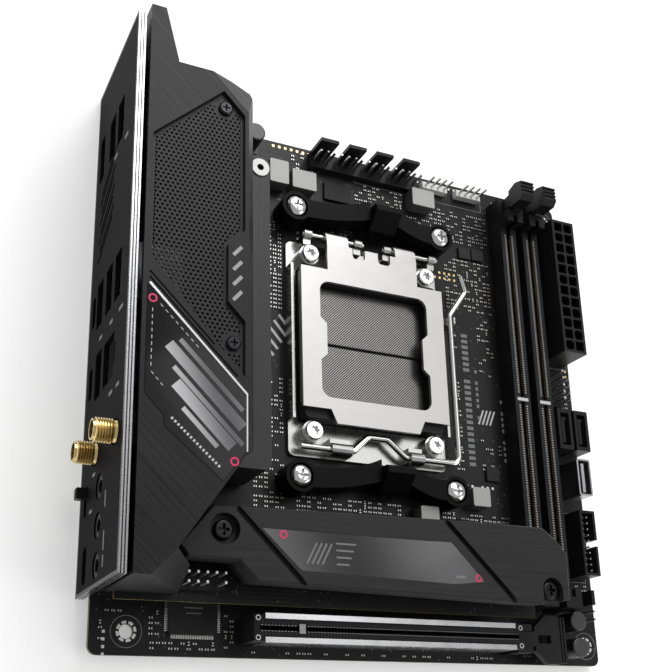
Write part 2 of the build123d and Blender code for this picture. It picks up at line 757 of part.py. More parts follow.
def fan_rotor():
    z0 = FAN_BOTTOM + 0.8 + FAN_GAP
    rotor = rod(FAN_X, FAN_Y, FAN_HUB_R, z0, z0 + FAN_HUB_T)
    blade = Pos(FAN_X, FAN_Y, z0 + FAN_HUB_T / 2)
    reach = FAN_BORE_R - FAN_HUB_R + 0.6
    for i in range(FAN_BLADES):
        turn = Rot(0, 0, 360 / FAN_BLADES * i) * Pos(FAN_HUB_R - 0.6 + reach / 2, 0, 0) * Rot(52, 0, 0)
        rotor += blade * turn * Box(reach, 4.6, FAN_BLADE_T)
    rotor = rotor & rod(FAN_X, FAN_Y, FAN_BORE_R, z0, z0 + FAN_HUB_T)
    return rotor - rod(FAN_X, FAN_Y, FAN_PIN_R + FIT, z0 - 1, z0 + FAN_HUB_T - 0.8)


# ---- regulator heatsink and what it cools ------------------------------------------------------
def vrm_heatsink():
    sink = block(SINK_X0, SINK_X1, SINK_Y0, SINK_Y1, SINK_Z0, SINK_TOP)
    sink = chamfer(sink.edges().filter_by(Axis.Z).sort_by(Axis.X)[2:], 1.6)
    for i in range(SINK_FIN_COUNT):
        x = SINK_X0 + 1.8 + i * SINK_FIN_PITCH
        sink -= block(
            x, x + SINK_FIN_PITCH - SINK_FIN_T, SINK_Y0 + 3, SINK_Y1 - 3, SINK_TOP - SINK_FIN_DEPTH, SINK_TOP + 1
        )
    sink -= rod(WASHER_X, WASHER_Y, 1.1, SINK_TOP - 6, SINK_TOP + 1)
    return sink




def heatsink_washer():
    ring = rod(WASHER_X, WASHER_Y, 2.9, SINK_TOP, SINK_TOP + 0.5)
    return ring - rod(WASHER_X, WASHER_Y, 1.1, SINK_TOP - 1, SINK_TOP + 1)


def stage_places():
    count = int((SINK_Y1 - SINK_Y0 - 12) / STAGE_PITCH)
    middle = (SINK_Y0 + SINK_Y1) / 2
    return grid(SINK_X1 - 6.0, middle, 1, count, 1, STAGE_PITCH)


def power_stages():
    return group([slab(x, y, 6, 5, 0.3, 0, STAGE_T) for x, y in stage_places()])


def thermal_pad():
    return block(SINK_X1 - 10.6, SINK_X1 - 1.6, SINK_Y0 + 5, SINK_Y1 - 5, STAGE_T, SINK_Z0)


def chokes():
    places = (
        (54.6, 156.0, 6.6, 8.4),
        (63.6, 154.9, 8.6, 6.8),
        (109.5, 158.9, 8.8, 6.6),
        (125.0, 52.5, 6.5, 6.2),
        (105.0, 44.6, 6.5, 6.2),
    )
    return group([slab(x, y, w, d, 0.5, 0, CHOKE_TOP) for x, y, w, d in places])


def capacitors():
    cans = []
    for x, y in CAPS:
        can = rod(x, y, CAP_R, 0.8, CAP_TOP)
        can = fillet(can.edges().sort_by(Axis.Z)[-1], 0.5)
        cans.append(can + slab(x, y, 2 * CAP_R + 0.4, 2 * CAP_R + 0.4, 0.8, 0, 0.8))
    return group(cans)


# ---- processor socket ------------------------------------------------------------------------
def socket_body():
    body = slab(SOCKET_X, SOCKET_Y, 2 * BODY_HALF_X, 2 * BODY_HALF_Y, 1.5, 0, BODY_TOP)
    body -= slab(SOCKET_X, SOCKET_Y, 2 * WELL_HALF, 2 * WELL_HALF, 1.2, WELL_FLOOR, BODY_TOP + 1)
    return body


def contact_field():
    """The two banks of contacts with the seam between them."""
    half = WELL_HALF - 0.8
    banks = []
    for side in (-1, 1):
        y = SOCKET_Y + side * (half / 2 + 0.35)
        banks.append(block(SOCKET_X - half, SOCKET_X + half, y - half / 2, y + half / 2, WELL_FLOOR, WELL_FLOOR + 0.7))
    return group(banks)


def socket_frame():
    """Sheet-metal frame: base ring, side lips, screw pads, lever bearings and wire ears."""
    middle_y = (FRAME_Y0 + FRAME_Y1) / 2
    depth = FRAME_Y1 - FRAME_Y0
    frame = slab(SOCKET_X, middle_y, 2 * FRAME_HALF_X, depth, 2.0, 0, FRAME_T)
    window_x = BODY_HALF_X + GAP
    window_y = BODY_HALF_Y + GAP
    frame -= slab(SOCKET_X, SOCKET_Y, 2 * window_x, 2 * window_y, 1.5, -1, FRAME_T + 1)
    for x0 in (FRAME_X0, FRAME_X1 - FRAME_LIP_T):
        frame += block(x0, x0 + FRAME_LIP_T, SOCKET_Y - 26, SOCKET_Y + 26, 0, FRAME_LIP_TOP)
    for x, y in socket_holes:
        frame += rod(x, y, 3.4, 0, SCREW_SEAT)
    for x0, x1 in CURLS:
        frame += block(x0, x1, LEVER_Y - 2.0, LEVER_Y + 3.4, 0, LEVER_Z)
        frame += rod_x(x0, x1, LEVER_Y, LEVER_Z, 2.0)
    frame -= rod_x(FRAME_X0 - 1, LEVER_X + 3, LEVER_Y, LEVER_Z, LEVER_R + FIT)
    for x in (WIRES[0][0] + 0.4, WIRES[0][1] - 3.6, WIRES[1][0] + 0.4, WIRES[1][1] - 3.6):
        frame += block(x, x + 2.6, FRAME_Y1 - 2.2, HINGE_Y, 0, HINGE_Z)
        frame += rod_x(x, x + 2.6, HINGE_Y, HINGE_Z, 1.6)
    for x0, x1 in WIRES:
        frame -= rod_x(x0, x1, HINGE_Y, HINGE_Z, HINGE_R)
    # cradle for the lever's arm
    frame += block(FRAME_X1 - 1, LEVER_X + 1.9, LEVER_HOOK_Y - 1.2, LEVER_HOOK_Y + 1.2, 0, LEVER_Z - LEVER_R - GAP)
    frame += block(LEVER_X + 1.3, LEVER_X + 1.9, LEVER_HOOK_Y - 1.2, LEVER_HOOK_Y + 1.2, 0, LEVER_Z + 0.6)
    for x, y in socket_holes:
        frame -= rod(x, y, 1.2 + FIT, -1, SCREW_SEAT + 1)
    # room for the lever's hump
    frame -= block(CURLS[0][1], CURLS[1][0], LEVER_Y - 2, LEVER_Y + LEVER_HUMP + 2.2, FRAME_T, 9)
    return frame




def socket_screws():
    """Star-recess screws that hold the frame to the backplate."""
    screws = []
    for x, y in socket_holes:
        head = rod(x, y, 3.0, SCREW_SEAT, SCREW_SEAT + 1.7)
        head = chamfer(head.edges().sort_by(Axis.Z)[-1], 0.35)
        head += rod(x, y, 1.2, BACKPLATE_TOP - BACKPLATE_T, SCREW_SEAT)
        star = Circle(1.15)
        for i in range(6):
            star += Rot(0, 0, 60 * i) * Pos(1.15, 0) * Circle(0.42)
        head -= Pos(x, y, SCREW_SEAT + 0.5) * extrude(star, 2)
        screws.append(head)
    return group(screws)


def load_window():
    """The plate's opening: rounded corners and a shallow bump on each side."""
    face = RectangleRounded(2 * WINDOW_HALF, 2 * WINDOW_HALF, 3.4)
    for side in (-1, 1):
        bump = Polyline(
            (side * (WINDOW_HALF + 1), -7.4),
            (side * WINDOW_HALF, -7.4),
            (side * (WINDOW_HALF - 2.2), -5.4),
            (side * (WINDOW_HALF - 2.2), 5.0),
            (side * WINDOW_HALF, 7.0),
            (side * (WINDOW_HALF + 1), 7.0),
            close=True,
        )
        face -= make_face(bump)
    return Pos(SOCKET_X, SOCKET_Y + 0.3) * face


def load_plate():
    z0 = PLATE_TOP - LOAD_T
    x0 = SOCKET_X - LOAD_HALF_X
    x1 = SOCKET_X + LOAD_HALF_X
    ear = 9.4
    points = [
        (x0, LOAD_Y0 + 4.4),
        (x0 + ear, LOAD_Y0 + 4.4),
        (x0 + ear + 2.0, LOAD_Y0),
        (x1 - ear - 2.0, LOAD_Y0),
        (x1 - ear, LOAD_Y0 + 4.4),
        (x1, LOAD_Y0 + 4.4),
        (x1, LOAD_Y1 - 9.4),
        (x1 - ear, LOAD_Y1 - 9.4),
        (x1 - ear, LOAD_Y1),
        (x0 + ear, LOAD_Y1),
        (x0 + ear, LOAD_Y1 - 9.4),
        (x0, LOAD_Y1 - 9.4),
    ]
    plate = prism(points, z0, PLATE_TOP)
    plate -= Pos(0, 0, z0 - 1) * extrude(load_window(), LOAD_T + 2)
    # slots either side of the middle tab
    for x in (81.0, 90.4):
        plate -= slab(x, LOAD_Y1 - 1.2, 4.6, 5.2, 1.4, z0 - 1, PLATE_TOP + 1)
    # side skirts bent down
    for x in (x0, x1 - LOAD_T):
        plate += block(x, x + LOAD_T, LOAD_Y0 + 6, LOAD_Y1 - 11, z0 - 1.2, z0 + 0.2)
    # hinge knuckles round the wires
    for k0, k1 in KNUCKLES:
        plate += profile_x(
            [(LOAD_Y1 - 1.0, z0), (LOAD_Y1 - 1.0, PLATE_TOP), (HINGE_Y, PLATE_TOP - 0.6), (HINGE_Y, z0 - 1.4)],
            k0,
            k1,
        )
        plate += rod_x(k0, k1, HINGE_Y, HINGE_Z, HINGE_R + FIT + 1.0)
        plate -= rod_x(k0 - 1, k1 + 1, HINGE_Y, HINGE_Z, HINGE_R + FIT)
    return plate


def hinge_wires():
    return group([rod_x(x0, x1, HINGE_Y, HINGE_Z, HINGE_R) for x0, x1 in WIRES])


def load_lever():
    """One bent wire: bar, hump, corner, arm, kink and finger end."""
    y, z = LEVER_Y, LEVER_Z
    points = [
        (60.6, y, z),
        (78.6, y, z),
        (83.8, y + LEVER_HUMP, z),
        (90.8, y + LEVER_HUMP, z),
        (97.2, y, z),
        (LEVER_X, y, z),
        (LEVER_X, LEVER_HOOK_Y + 1.6, z),
        (LEVER_X + 6.2, LEVER_HOOK_Y + 11.0, z + 1.2),
        (LEVER_X + 3.6, LEVER_HOOK_Y + 16.0, z + 2.4),
    ]
    path = FilletPolyline(*points, radius=[2.4, 1.8, 1.8, 2.4, 2.6, 2.6, 1.8])
    section = Plane(origin=path @ 0, z_dir=path % 0) * Circle(LEVER_R)
    return sweep(section, path=path)


def bracket(y):
    """Cooler retention bracket: two lugs, two sagging straps and a hooked clip block."""
    x0 = SOCKET_X - COOLER_DX / 2
    x1 = SOCKET_X + COOLER_DX / 2
    b0 = SOCKET_X + BRACKET_BLOCK_OFFSET - BRACKET_BLOCK_W / 2
    b1 = b0 + BRACKET_BLOCK_W
    low = y - STRAP_DROP
    high = y + STRAP_RISE
    left = Wire([
        ThreePointArc((x0, low), ((x0 + b0) / 2, low + 1.0), (b0, low + STRAP_CLIMB)),
        Line((b0, low + STRAP_CLIMB), (b0, high + STRAP_CLIMB)),
        ThreePointArc((b0, high + STRAP_CLIMB), ((x0 + b0) / 2, high), (x0, high)),
        Line((x0, high), (x0, low)),
    ])
    right = Wire([
        ThreePointArc((b1, low + STRAP_CLIMB), ((x1 + b1) / 2, low + 0.8), (x1, low)),
        Line((x1, low), (x1, high)),
        ThreePointArc((x1, high), ((x1 + b1) / 2, high), (b1, high + STRAP_CLIMB)),
        Line((b1, high + STRAP_CLIMB), (b1, low + STRAP_CLIMB)),
    ])
    bar = Pos(0, 0, BRACKET_TOP - STRAP_T) * extrude(make_face(left), STRAP_T)
    bar += Pos(0, 0, BRACKET_TOP - STRAP_T) * extrude(make_face(right), STRAP_T)
    for x in (x0, x1):
        bar += rod(x, y, BRACKET_LUG_R, 0, BRACKET_TOP)
    clip = [
        (y - 2.4, 3.4),
        (y - 2.4, 6.8),
        (y + 0.2, BRACKET_TOP + 1.2),
        (y + 2.8, BRACKET_TOP + 4.0),
        (y + 4.6, BRACKET_TOP + 4.0),
        (y + 5.3, BRACKET_TOP + 3.0),
        (y + 5.3, 0),
        (y + 3.4, 0),
        (y + 3.4, 3.4),
    ]
    bar += profile_x(clip, b0, b1)
    for x in (x0, x1):
        bar -= rod(x, y, 3.9, BRACKET_SEAT, BRACKET_TOP + 2)
        bar -= rod(x, y, POST_R + FIT, -1, BRACKET_SEAT - 3.4 + FIT)
        bar -= rod(x, y, 1.75 + FIT, -1, BRACKET_TOP + 1)
    return bar


def bracket_screws():
    screws = []
    for x, y in cooler_holes:
        head = rod(x, y, 3.7, BRACKET_SEAT, BRACKET_SEAT + 2.9)
        head = fillet(head.edges().sort_by(Axis.Z)[-1], 2.2)
        head += rod(x, y, 1.75, BACKPLATE_TOP - BACKPLATE_T + 0.4, BRACKET_SEAT)
        screws.append(cross_recess(head, x, y, BRACKET_SEAT + 2.9, 3.6, 0.9, 1.6))
    return group(screws)


# ---- memory slots ----------------------------------------------------------------------------
def dimm_slot(x):
    half = DIMM_W / 2
    slot = block(x - half, x + half, DIMM_Y0, DIMM_Y1, 0, DIMM_TOP)
    slot += block(x - half, x + half, DIMM_Y0, DIMM_Y0 + DIMM_TOWER, 0, DIMM_TOWER_TOP)
    slot += block(x - half, x + half, DIMM_Y1 - DIMM_TOWER, DIMM_Y1 + 5.4, 0, DIMM_TOP)
    slot += block(x - half, x + half, DIMM_Y1 - DIMM_TOWER, DIMM_Y1 - 1.4, 0, DIMM_TOWER_TOP)
    g = DIMM_GROOVE_W / 2
    floor = DIMM_TOP - DIMM_GROOVE_DEPTH
    groove = block(x - g, x + g, DIMM_Y0 + 3.4, DIMM_Y1 - 3.4, floor, DIMM_TOWER_TOP + 1)
    groove -= block(x - g, x + g, DIMM_KEY_Y - 0.9, DIMM_KEY_Y + 0.9, floor, DIMM_TOP)
    slot -= groove
    # room for the latch between its two cheeks
    inner = LATCH_W / 2 - 1.2 + FIT
    slot -= block(x - inner, x + inner, DIMM_Y1 - 0.8, DIMM_Y1 + 6, 0.8, DIMM_TOP + 1)
    slot -= rod_x(x - half - 1, x + half + 1, LATCH_PIVOT_Y, LATCH_PIVOT_Z, LATCH_PIN_R + FIT)
    return slot


def dimm_latch(x):
    """Thumb latch: hub and pin between the cheeks, a stem and a ridged thumb rest."""
    inner = LATCH_W / 2 - 1.2
    half = LATCH_W / 2
    stem = profile_x(
        [
            (LATCH_PIVOT_Y - 1.6, LATCH_PIVOT_Z),
            (LATCH_PIVOT_Y + 1.8, LATCH_PIVOT_Z),
            (LATCH_PIVOT_Y + 3.4, LATCH_TOP - 5.0),
            (LATCH_PIVOT_Y - 1.4, LATCH_TOP - 5.0),
        ],
        x - inner,
        x + inner,
    )
    stem += rod_x(x - inner, x + inner, LATCH_PIVOT_Y, LATCH_PIVOT_Z, 2.0)
    stem += rod_x(x - DIMM_W / 2, x + DIMM_W / 2, LATCH_PIVOT_Y, LATCH_PIVOT_Z, LATCH_PIN_R)
    thumb = profile_x(
        [
            (LATCH_PIVOT_Y - 3.2, DIMM_TOWER_TOP + 0.6),
            (LATCH_PIVOT_Y + 3.2, DIMM_TOWER_TOP + 0.6),
            (LATCH_PIVOT_Y + 4.4, LATCH_TOP - 3.6),
            (LATCH_PIVOT_Y + 3.4, LATCH_TOP),
            (LATCH_PIVOT_Y - 1.6, LATCH_TOP),
            (LATCH_PIVOT_Y - 3.2, LATCH_TOP - 1.6),
        ],
        x - half,
        x + half,
    )
    for i in range(3):
        y = LATCH_PIVOT_Y - 0.6 + i * 1.4
        thumb -= block(x - half - 1, x + half + 1, y, y + 0.6, LATCH_TOP - 0.5, LATCH_TOP + 1)
    return stem + thumb


# ---- expansion slot ---------------------------------------------------------------------------
def expansion_slot():
    half = SLOT_W / 2
    body = block(SLOT_X0, SLOT_X1, SLOT_Y - half, SLOT_Y + half, 0, SLOT_TOP)
    g = SLOT_GROOVE_W / 2
    groove = block(SLOT_X0 + 1.8, SLOT_X1 - 1.8, SLOT_Y - g, SLOT_Y + g, SLOT_TOP - SLOT_GROOVE_DEPTH, SLOT_TOP + 1)
    groove -= block(SLOT_KEY_X - 0.8, SLOT_KEY_X + 0.8, SLOT_Y - g, SLOT_Y + g, 0, SLOT_TOP)
    body -= groove
    for side in (-1, 1):
        y = SLOT_Y + side * 3.4
        cheek = block(SLOT_X1 - 0.2, SLOT_PIVOT_X + 2.6, y - 1.0, y + 1.0, 0, SLOT_PIVOT_Z + 2.4)
        body += cheek
    body -= rod_y(SLOT_PIVOT_X, SLOT_Y - 6, SLOT_Y + 6, SLOT_PIVOT_Z, SLOT_LATCH_PIN_R + FIT)
    return body


def slot_shield():
    """Steel sleeve on both long sides, folded over the top edge, with a riveted ear at each end."""
    parts = None
    x0 = SLOT_X0 + 3.2
    x1 = SLOT_X1 - 3.2
    for side in (-1, 1):
        inner = SLOT_Y + side * SLOT_W / 2
        outer = inner + side * SHIELD_T
        y0, y1 = sorted((inner, outer))
        wall = block(x0, x1, y0, y1, 0, SLOT_TOP)
        y0, y1 = sorted((outer, outer - side * SHIELD_LIP))
        wall += block(x0, x1, y0, y1, SLOT_TOP, SLOT_TOP + SHIELD_T)
        parts = wall if parts is None else parts + wall
    return group([parts])


def slot_latch():
    """Wide two-winged thumb latch on a pin between the slot's end cheeks."""
    hub = rod_y(SLOT_PIVOT_X, SLOT_Y - 2.3, SLOT_Y + 2.3, SLOT_PIVOT_Z, 2.0)
    hub += rod_y(SLOT_PIVOT_X, SLOT_Y - 4.4, SLOT_Y + 4.4, SLOT_PIVOT_Z, SLOT_LATCH_PIN_R)
    z0 = SLOT_PIVOT_Z - 0.4
    z1 = SLOT_PIVOT_Z + 1.6
    end = SLOT_PIVOT_X + SLOT_LATCH_LENGTH
    arm = block(SLOT_PIVOT_X, end - 3, SLOT_Y - 2.3, SLOT_Y + 2.3, z0, z1)
    arm -= block(SLOT_PIVOT_X + 5.6, SLOT_PIVOT_X + 10.4, SLOT_Y - 1.3, SLOT_Y + 1.3, z0 - 1, z1 + 1)
    for side in (-1, 1):
        wing = [
            (SLOT_PIVOT_X + 4.2, SLOT_Y + side * 2.2),
            (SLOT_PIVOT_X + 4.2, SLOT_Y + side * 3.6),
            (SLOT_PIVOT_X + 8.6, SLOT_Y + side * 7.6),
            (end - 3, SLOT_Y + side * 7.6),
            (end - 3, SLOT_Y + side * 2.2),
        ]
        arm += prism(wing, z0, z1)
    for i in range(3):
        arm += block(end - 3.2 + i * 1.1, end - 2.5 + i * 1.1, SLOT_Y - 7.2, SLOT_Y + 7.2, z0 + 0.2 * i, z1)
        arm += block(end - 3.2 + i * 1.1, end - 1.9 + i * 1.1, SLOT_Y - 7.0, SLOT_Y + 7.0, z0 + 0.2 * i, z1 - 0.6)
    return hub + arm


# ---- raised storage board, chip set and cover ------------------------------------------------------
def riser_board():
    points = [
        (RISER_X0, RISER_Y0),
        (RISER_X1, RISER_Y0),
        (RISER_X1, RISER_Y1),
        (RISER_AUDIO_X, RISER_Y1),
        (RISER_AUDIO_X, RISER_AUDIO_Y1),
        (RISER_X0, RISER_AUDIO_Y1),
    ]
    board = prism(points, RISER_TOP - RISER_T, RISER_TOP)
    for x, y in STANDOFFS:
        board -= rod(x, y, 1.5 + FIT, RISER_TOP - RISER_T - 1, RISER_TOP + 1)
    return board


def riser_connector():
    return block(40, 62, 27, 33, 0, RISER_TOP - RISER_T)


def chipset():
    return slab(88, 27, 19, 19, 0.8, 0, 1.8)


def chipset_heatsink():
    return slab(88, 27, 26, 19.5, 1.0, 1.8, RISER_TOP - RISER_T)


def standoffs():
    posts = []
    for x, y in STANDOFFS:
        post = rod(x, y, STANDOFF_R, 0, RISER_TOP - RISER_T)
        post += rod(x, y, 1.5, RISER_TOP - RISER_T, RISER_TOP)
        post += rod(x, y, STANDOFF_R, RISER_TOP, COVER_BOTTOM)
        posts.append(post - rod(x, y, 1.0 + FIT, RISER_TOP, COVER_BOTTOM + 1))
    return group(posts)


def storage_socket():
    """The card-edge socket under the cover, its mouth facing the rear."""
    y0 = STORAGE_Y - STORAGE_W / 2
    y1 = STORAGE_Y + STORAGE_W / 2
    body = block(STORAGE_X, STORAGE_X + 5.0, y0, y1, RISER_TOP, RISER_TOP + STORAGE_H)
    return body - block(STORAGE_X - 1, STORAGE_X + 3.4, y0 + 1.4, y1 - 1.4, RISER_TOP + 1.2, RISER_TOP + 2.2)


def cover_outline():
    return [
        (25.0, 36.6),
        (15.9, 25.6),
        (18.4, 22.6),
        (32.2, 22.4),
        (37.4, 17.2),
        (128.0, 15.2),
        (138.6, 16.8),
        (139.1, 30.8),
        (135.0, 35.2),
        (130.5, 38.3),
        (113.5, 38.4),
        (31.6, 36.8),
    ]


def cover_strip(shrink):
    points = [(38.6, 31.4), (50.0, 20.6), (97.8, 19.4), (108.4, 20.6), (97.6, 31.6), (89.2, 31.4)]
    face = make_face(Polyline(*points, close=True))
    if shrink:
        face = offset(face, amount=-shrink, kind=Kind.INTERSECTION)
    return face


def m2_base():
    """Lower heatsink plate, set in under the cover and notched for the socket."""
    face = offset(make_face(Polyline(*cover_outline(), close=True)), amount=-BASE_INSET, kind=Kind.INTERSECTION)
    base = Pos(0, 0, BASE_BOTTOM) * extrude(face, COVER_BOTTOM - BASE_BOTTOM)
    y0 = STORAGE_Y - STORAGE_W / 2 - GAP
    y1 = STORAGE_Y + STORAGE_W / 2 + GAP
    base -= block(STORAGE_X - GAP, STORAGE_X + 5.0 + GAP, y0, y1, 0, RISER_TOP + STORAGE_H + GAP)
    for x, y in STANDOFFS:
        base -= rod(x, y, STANDOFF_R + GAP, 0, COVER_TOP)
    return base


def m2_cover():
    cover = prism(cover_outline(), COVER_BOTTOM, COVER_TOP)
    top_edges = cover.faces().sort_by(Axis.Z)[-1].edges()
    cover = chamfer(top_edges, 0.5)
    for x, y, length, turn in ((42.9, 24.9, 36.0, -45.2), (107.8, 26.2, 36.0, -44.8)):
        groove = Pos(x, y, COVER_TOP) * Rot(0, 0, turn)
        cover -= groove * Box(length, COVER_GROOVE_W, 2 * COVER_GROOVE_DEPTH)
    cover -= Pos(0, 0, COVER_TOP - 0.6) * extrude(cover_strip(0), 2)
    deep = COVER_TOP - COVER_RECESS_DEPTH
    cover -= rod(COVER_SCREW_X, COVER_SCREW_Y, COVER_RECESS_R, deep, COVER_TOP + 1)
    x, y = COVER_FRONT_SCREW_X, COVER_FRONT_SCREW_Y
    cover -= rod(x, y, 3.6, deep, COVER_TOP + 1)
    cover -= block(x - 3.6, x + 3.6, y - 6, y, deep, COVER_TOP + 1)
    for x, y in STANDOFFS:
        cover -= rod(x, y, 1.0 + FIT, COVER_BOTTOM - 1, COVER_TOP)
    return cover


def cover_gloss_strip():
    return Pos(0, 0, COVER_TOP - 0.6) * extrude(cover_strip(FIT), 0.5)


def cover_screws():
    screws = []
    seat = COVER_TOP - COVER_RECESS_DEPTH
    for x, y in STANDOFFS:
        head = rod(x, y, 2.7, seat, seat + 1.6)
        head = fillet(head.edges().sort_by(Axis.Z)[-1], 0.7)
        head += rod(x, y, 1.0, COVER_BOTTOM - 1.0, seat)
        screws.append(cross_recess(head, x, y, seat + 1.6, 3.2, 0.8, 1.1))
    return group(screws)


# ---- front-edge and top-edge connectors ------------------------------------------------------------
def power_socket(x, y, columns, along_y):
    """A square-cell power connector with its pins; cells alternate square and cut-cornered."""
    length = columns * ATX_PITCH + 1.2
    w, d = (ATX_W, length) if along_y else (length, ATX_W)
    shell = block(x - w / 2, x + w / 2, y - d / 2, y + d / 2, 0, ATX_TOP)
    contacts = []
    for i in range(columns):
        for j in range(2):
            along = (i - (columns - 1) / 2) * ATX_PITCH
            across = (j - 0.5) * ATX_PITCH
            cx, cy = (x + across, y + along) if along_y else (x + along, y + across)
            cell = Rectangle(3.5, 3.5) if (i + j) % 2 else RectangleRounded(3.5, 3.5, 1.1)
            shell -= Pos(cx, cy, 2.4) * extrude(cell, ATX_TOP)
            contacts.append((cx, cy))
    return shell, pins(contacts, 1.1, 2.4, 9.0)


def pin_header(x, y, columns, rows, base_z, along_y, missing=()):
    """A shrouded-base pin header: one base block and its pins."""
    c, r = (rows, columns) if along_y else (columns, rows)
    places = grid(x, y, c, r, HEADER_PITCH, HEADER_PITCH)
    places = [p for i, p in enumerate(places) if i not in missing]
    w = c * HEADER_PITCH
    d = r * HEADER_PITCH
    base = block(x - w / 2, x + w / 2, y - d / 2, y + d / 2, base_z, base_z + 2.5)
    return base, pins(places, 0.64, base_z + 2.5, base_z + 8.5)


def sata_ports():
    ports = []
    for x in SATA_X:
        w = SATA_W / 2
        l = SATA_LENGTH / 2
        port = block(x - w, x + w, SATA_Y - l, SATA_Y + l, 0, SATA_TOP)
        port -= block(x - w + 1.1, x + w - 1.1, SATA_Y - l + 1.4, SATA_Y + l - 1.4, 2.2, SATA_TOP + 1)
        port += block(x - 0.7, x + 0.5, SATA_Y - 4.6, SATA_Y + 4.6, 0, SATA_TOP - 1.0)
        port += block(x + 0.5, x + 1.3, SATA_Y + 3.6, SATA_Y + 4.6, 0, SATA_TOP - 1.0)
        ports.append(port)
    return group(ports)


def front_usb_c():
    shell = slab(FRONT_C_X, FRONT_C_Y, 5.6, 12.9, 0.8, 0, 9.4)
    shell -= slab(FRONT_C_X, FRONT_C_Y, 4.4, 11.7, 0.4, 2.0, 10)
    return shell + block(FRONT_C_X - 0.6, FRONT_C_X + 0.6, FRONT_C_Y - 5.0, FRONT_C_Y + 5.0, 0, 8.6)


def front_usb():
    y1 = FRONT_USB_Y0 + FRONT_USB_LENGTH
    w = FRONT_USB_W / 2
    x = FRONT_USB_X
    shell = block(x - w, x + w, FRONT_USB_Y0, y1, 0, FRONT_USB_TOP)
    shell -= block(x - w + 0.9, x + w - 0.9, FRONT_USB_Y0 + 0.9, y1 - 0.9, 2.0, FRONT_USB_TOP + 1)
    mid = FRONT_USB_Y0 + FRONT_USB_LENGTH / 2
    shell -= block(x + w - 1, x + w + 1, mid - 1.1, mid + 1.1, 3.0, FRONT_USB_TOP + 1)
    places = grid(x, mid, 2, 10, 2.0, 2.0)
    places.pop(0)
    return shell, pins(places, 0.5, 2.0, 7.4)


def fan_header(x, y, along_y):
    """Four-pin fan header with its upright guide tab."""
    base, contacts = pin_header(x, y, 4, 1, 0, along_y)
    if along_y:
        base += block(x - 2.9, x + 2.9, y - 5.1, y + 5.1, 0, 2.5)
        base += block(x - 2.9, x - 1.7, y + 0.4, y + 5.1, 0, 11.2)
    else:
        base += block(x - 5.1, x + 5.1, y - 2.9, y + 2.9, 0, 2.5)
        base += block(x - 5.1, x + 1.4, y + 1.7, y + 2.9, 0, 11.2)
    return base, contacts


top_header_y = BOARD_Y - FAN_HEADER_Y_INSET
header_builds = {
    "fan_header": [fan_header(x, top_header_y, False) for x in FAN_HEADER_X] + [fan_header(163.4, 18.0, True)],
    "led_header": [pin_header(x, top_header_y + 0.6, 4, 1, 0, False) for x in LED_HEADER_X],
    "panel_header": [pin_header(161.6, 95.2, 5, 2, 0, True, (9,))],
    "audio_header": [pin_header(25.6, 18.5, 5, 2, RISER_TOP, False, (6,))],
    "front_usb_header": [front_usb()],
}


def audio_chip():
    return slab(28.7, 12.9, 14.0, 14.0, 0.3, 0.1, 1.3)


def controller_chips():
    chips = [
        (77.8, 155.6, 10.0, 6.6),
        (128.0, 143.0, 4.8, 4.2),
        (133.4, 143.2, 4.8, 4.2),
        (49.8, 120.0, 5.0, 5.0),
        (133.0, 62.0, 5.0, 5.0),
        (120.0, 43.6, 4.0, 4.0),
    ]
    return [slab(x, y, w, d, 0.2, 0, 1.0) for x, y, w, d in chips]


def place(shape):
    """From the board's corner to the part's own frame."""
    origin_x = (case_holes[0][0] + case_holes[1][0]) / 2
    return Pos(-origin_x, -HOLE_BOTTOM_Y, BOARD_T) * shape


atx_shell, atx_pins = power_socket(ATX_X, ATX_Y, ATX_COLUMNS, True)
eps_shell, eps_pins = power_socket(19.6, BOARD_Y - 5.0, 4, False)

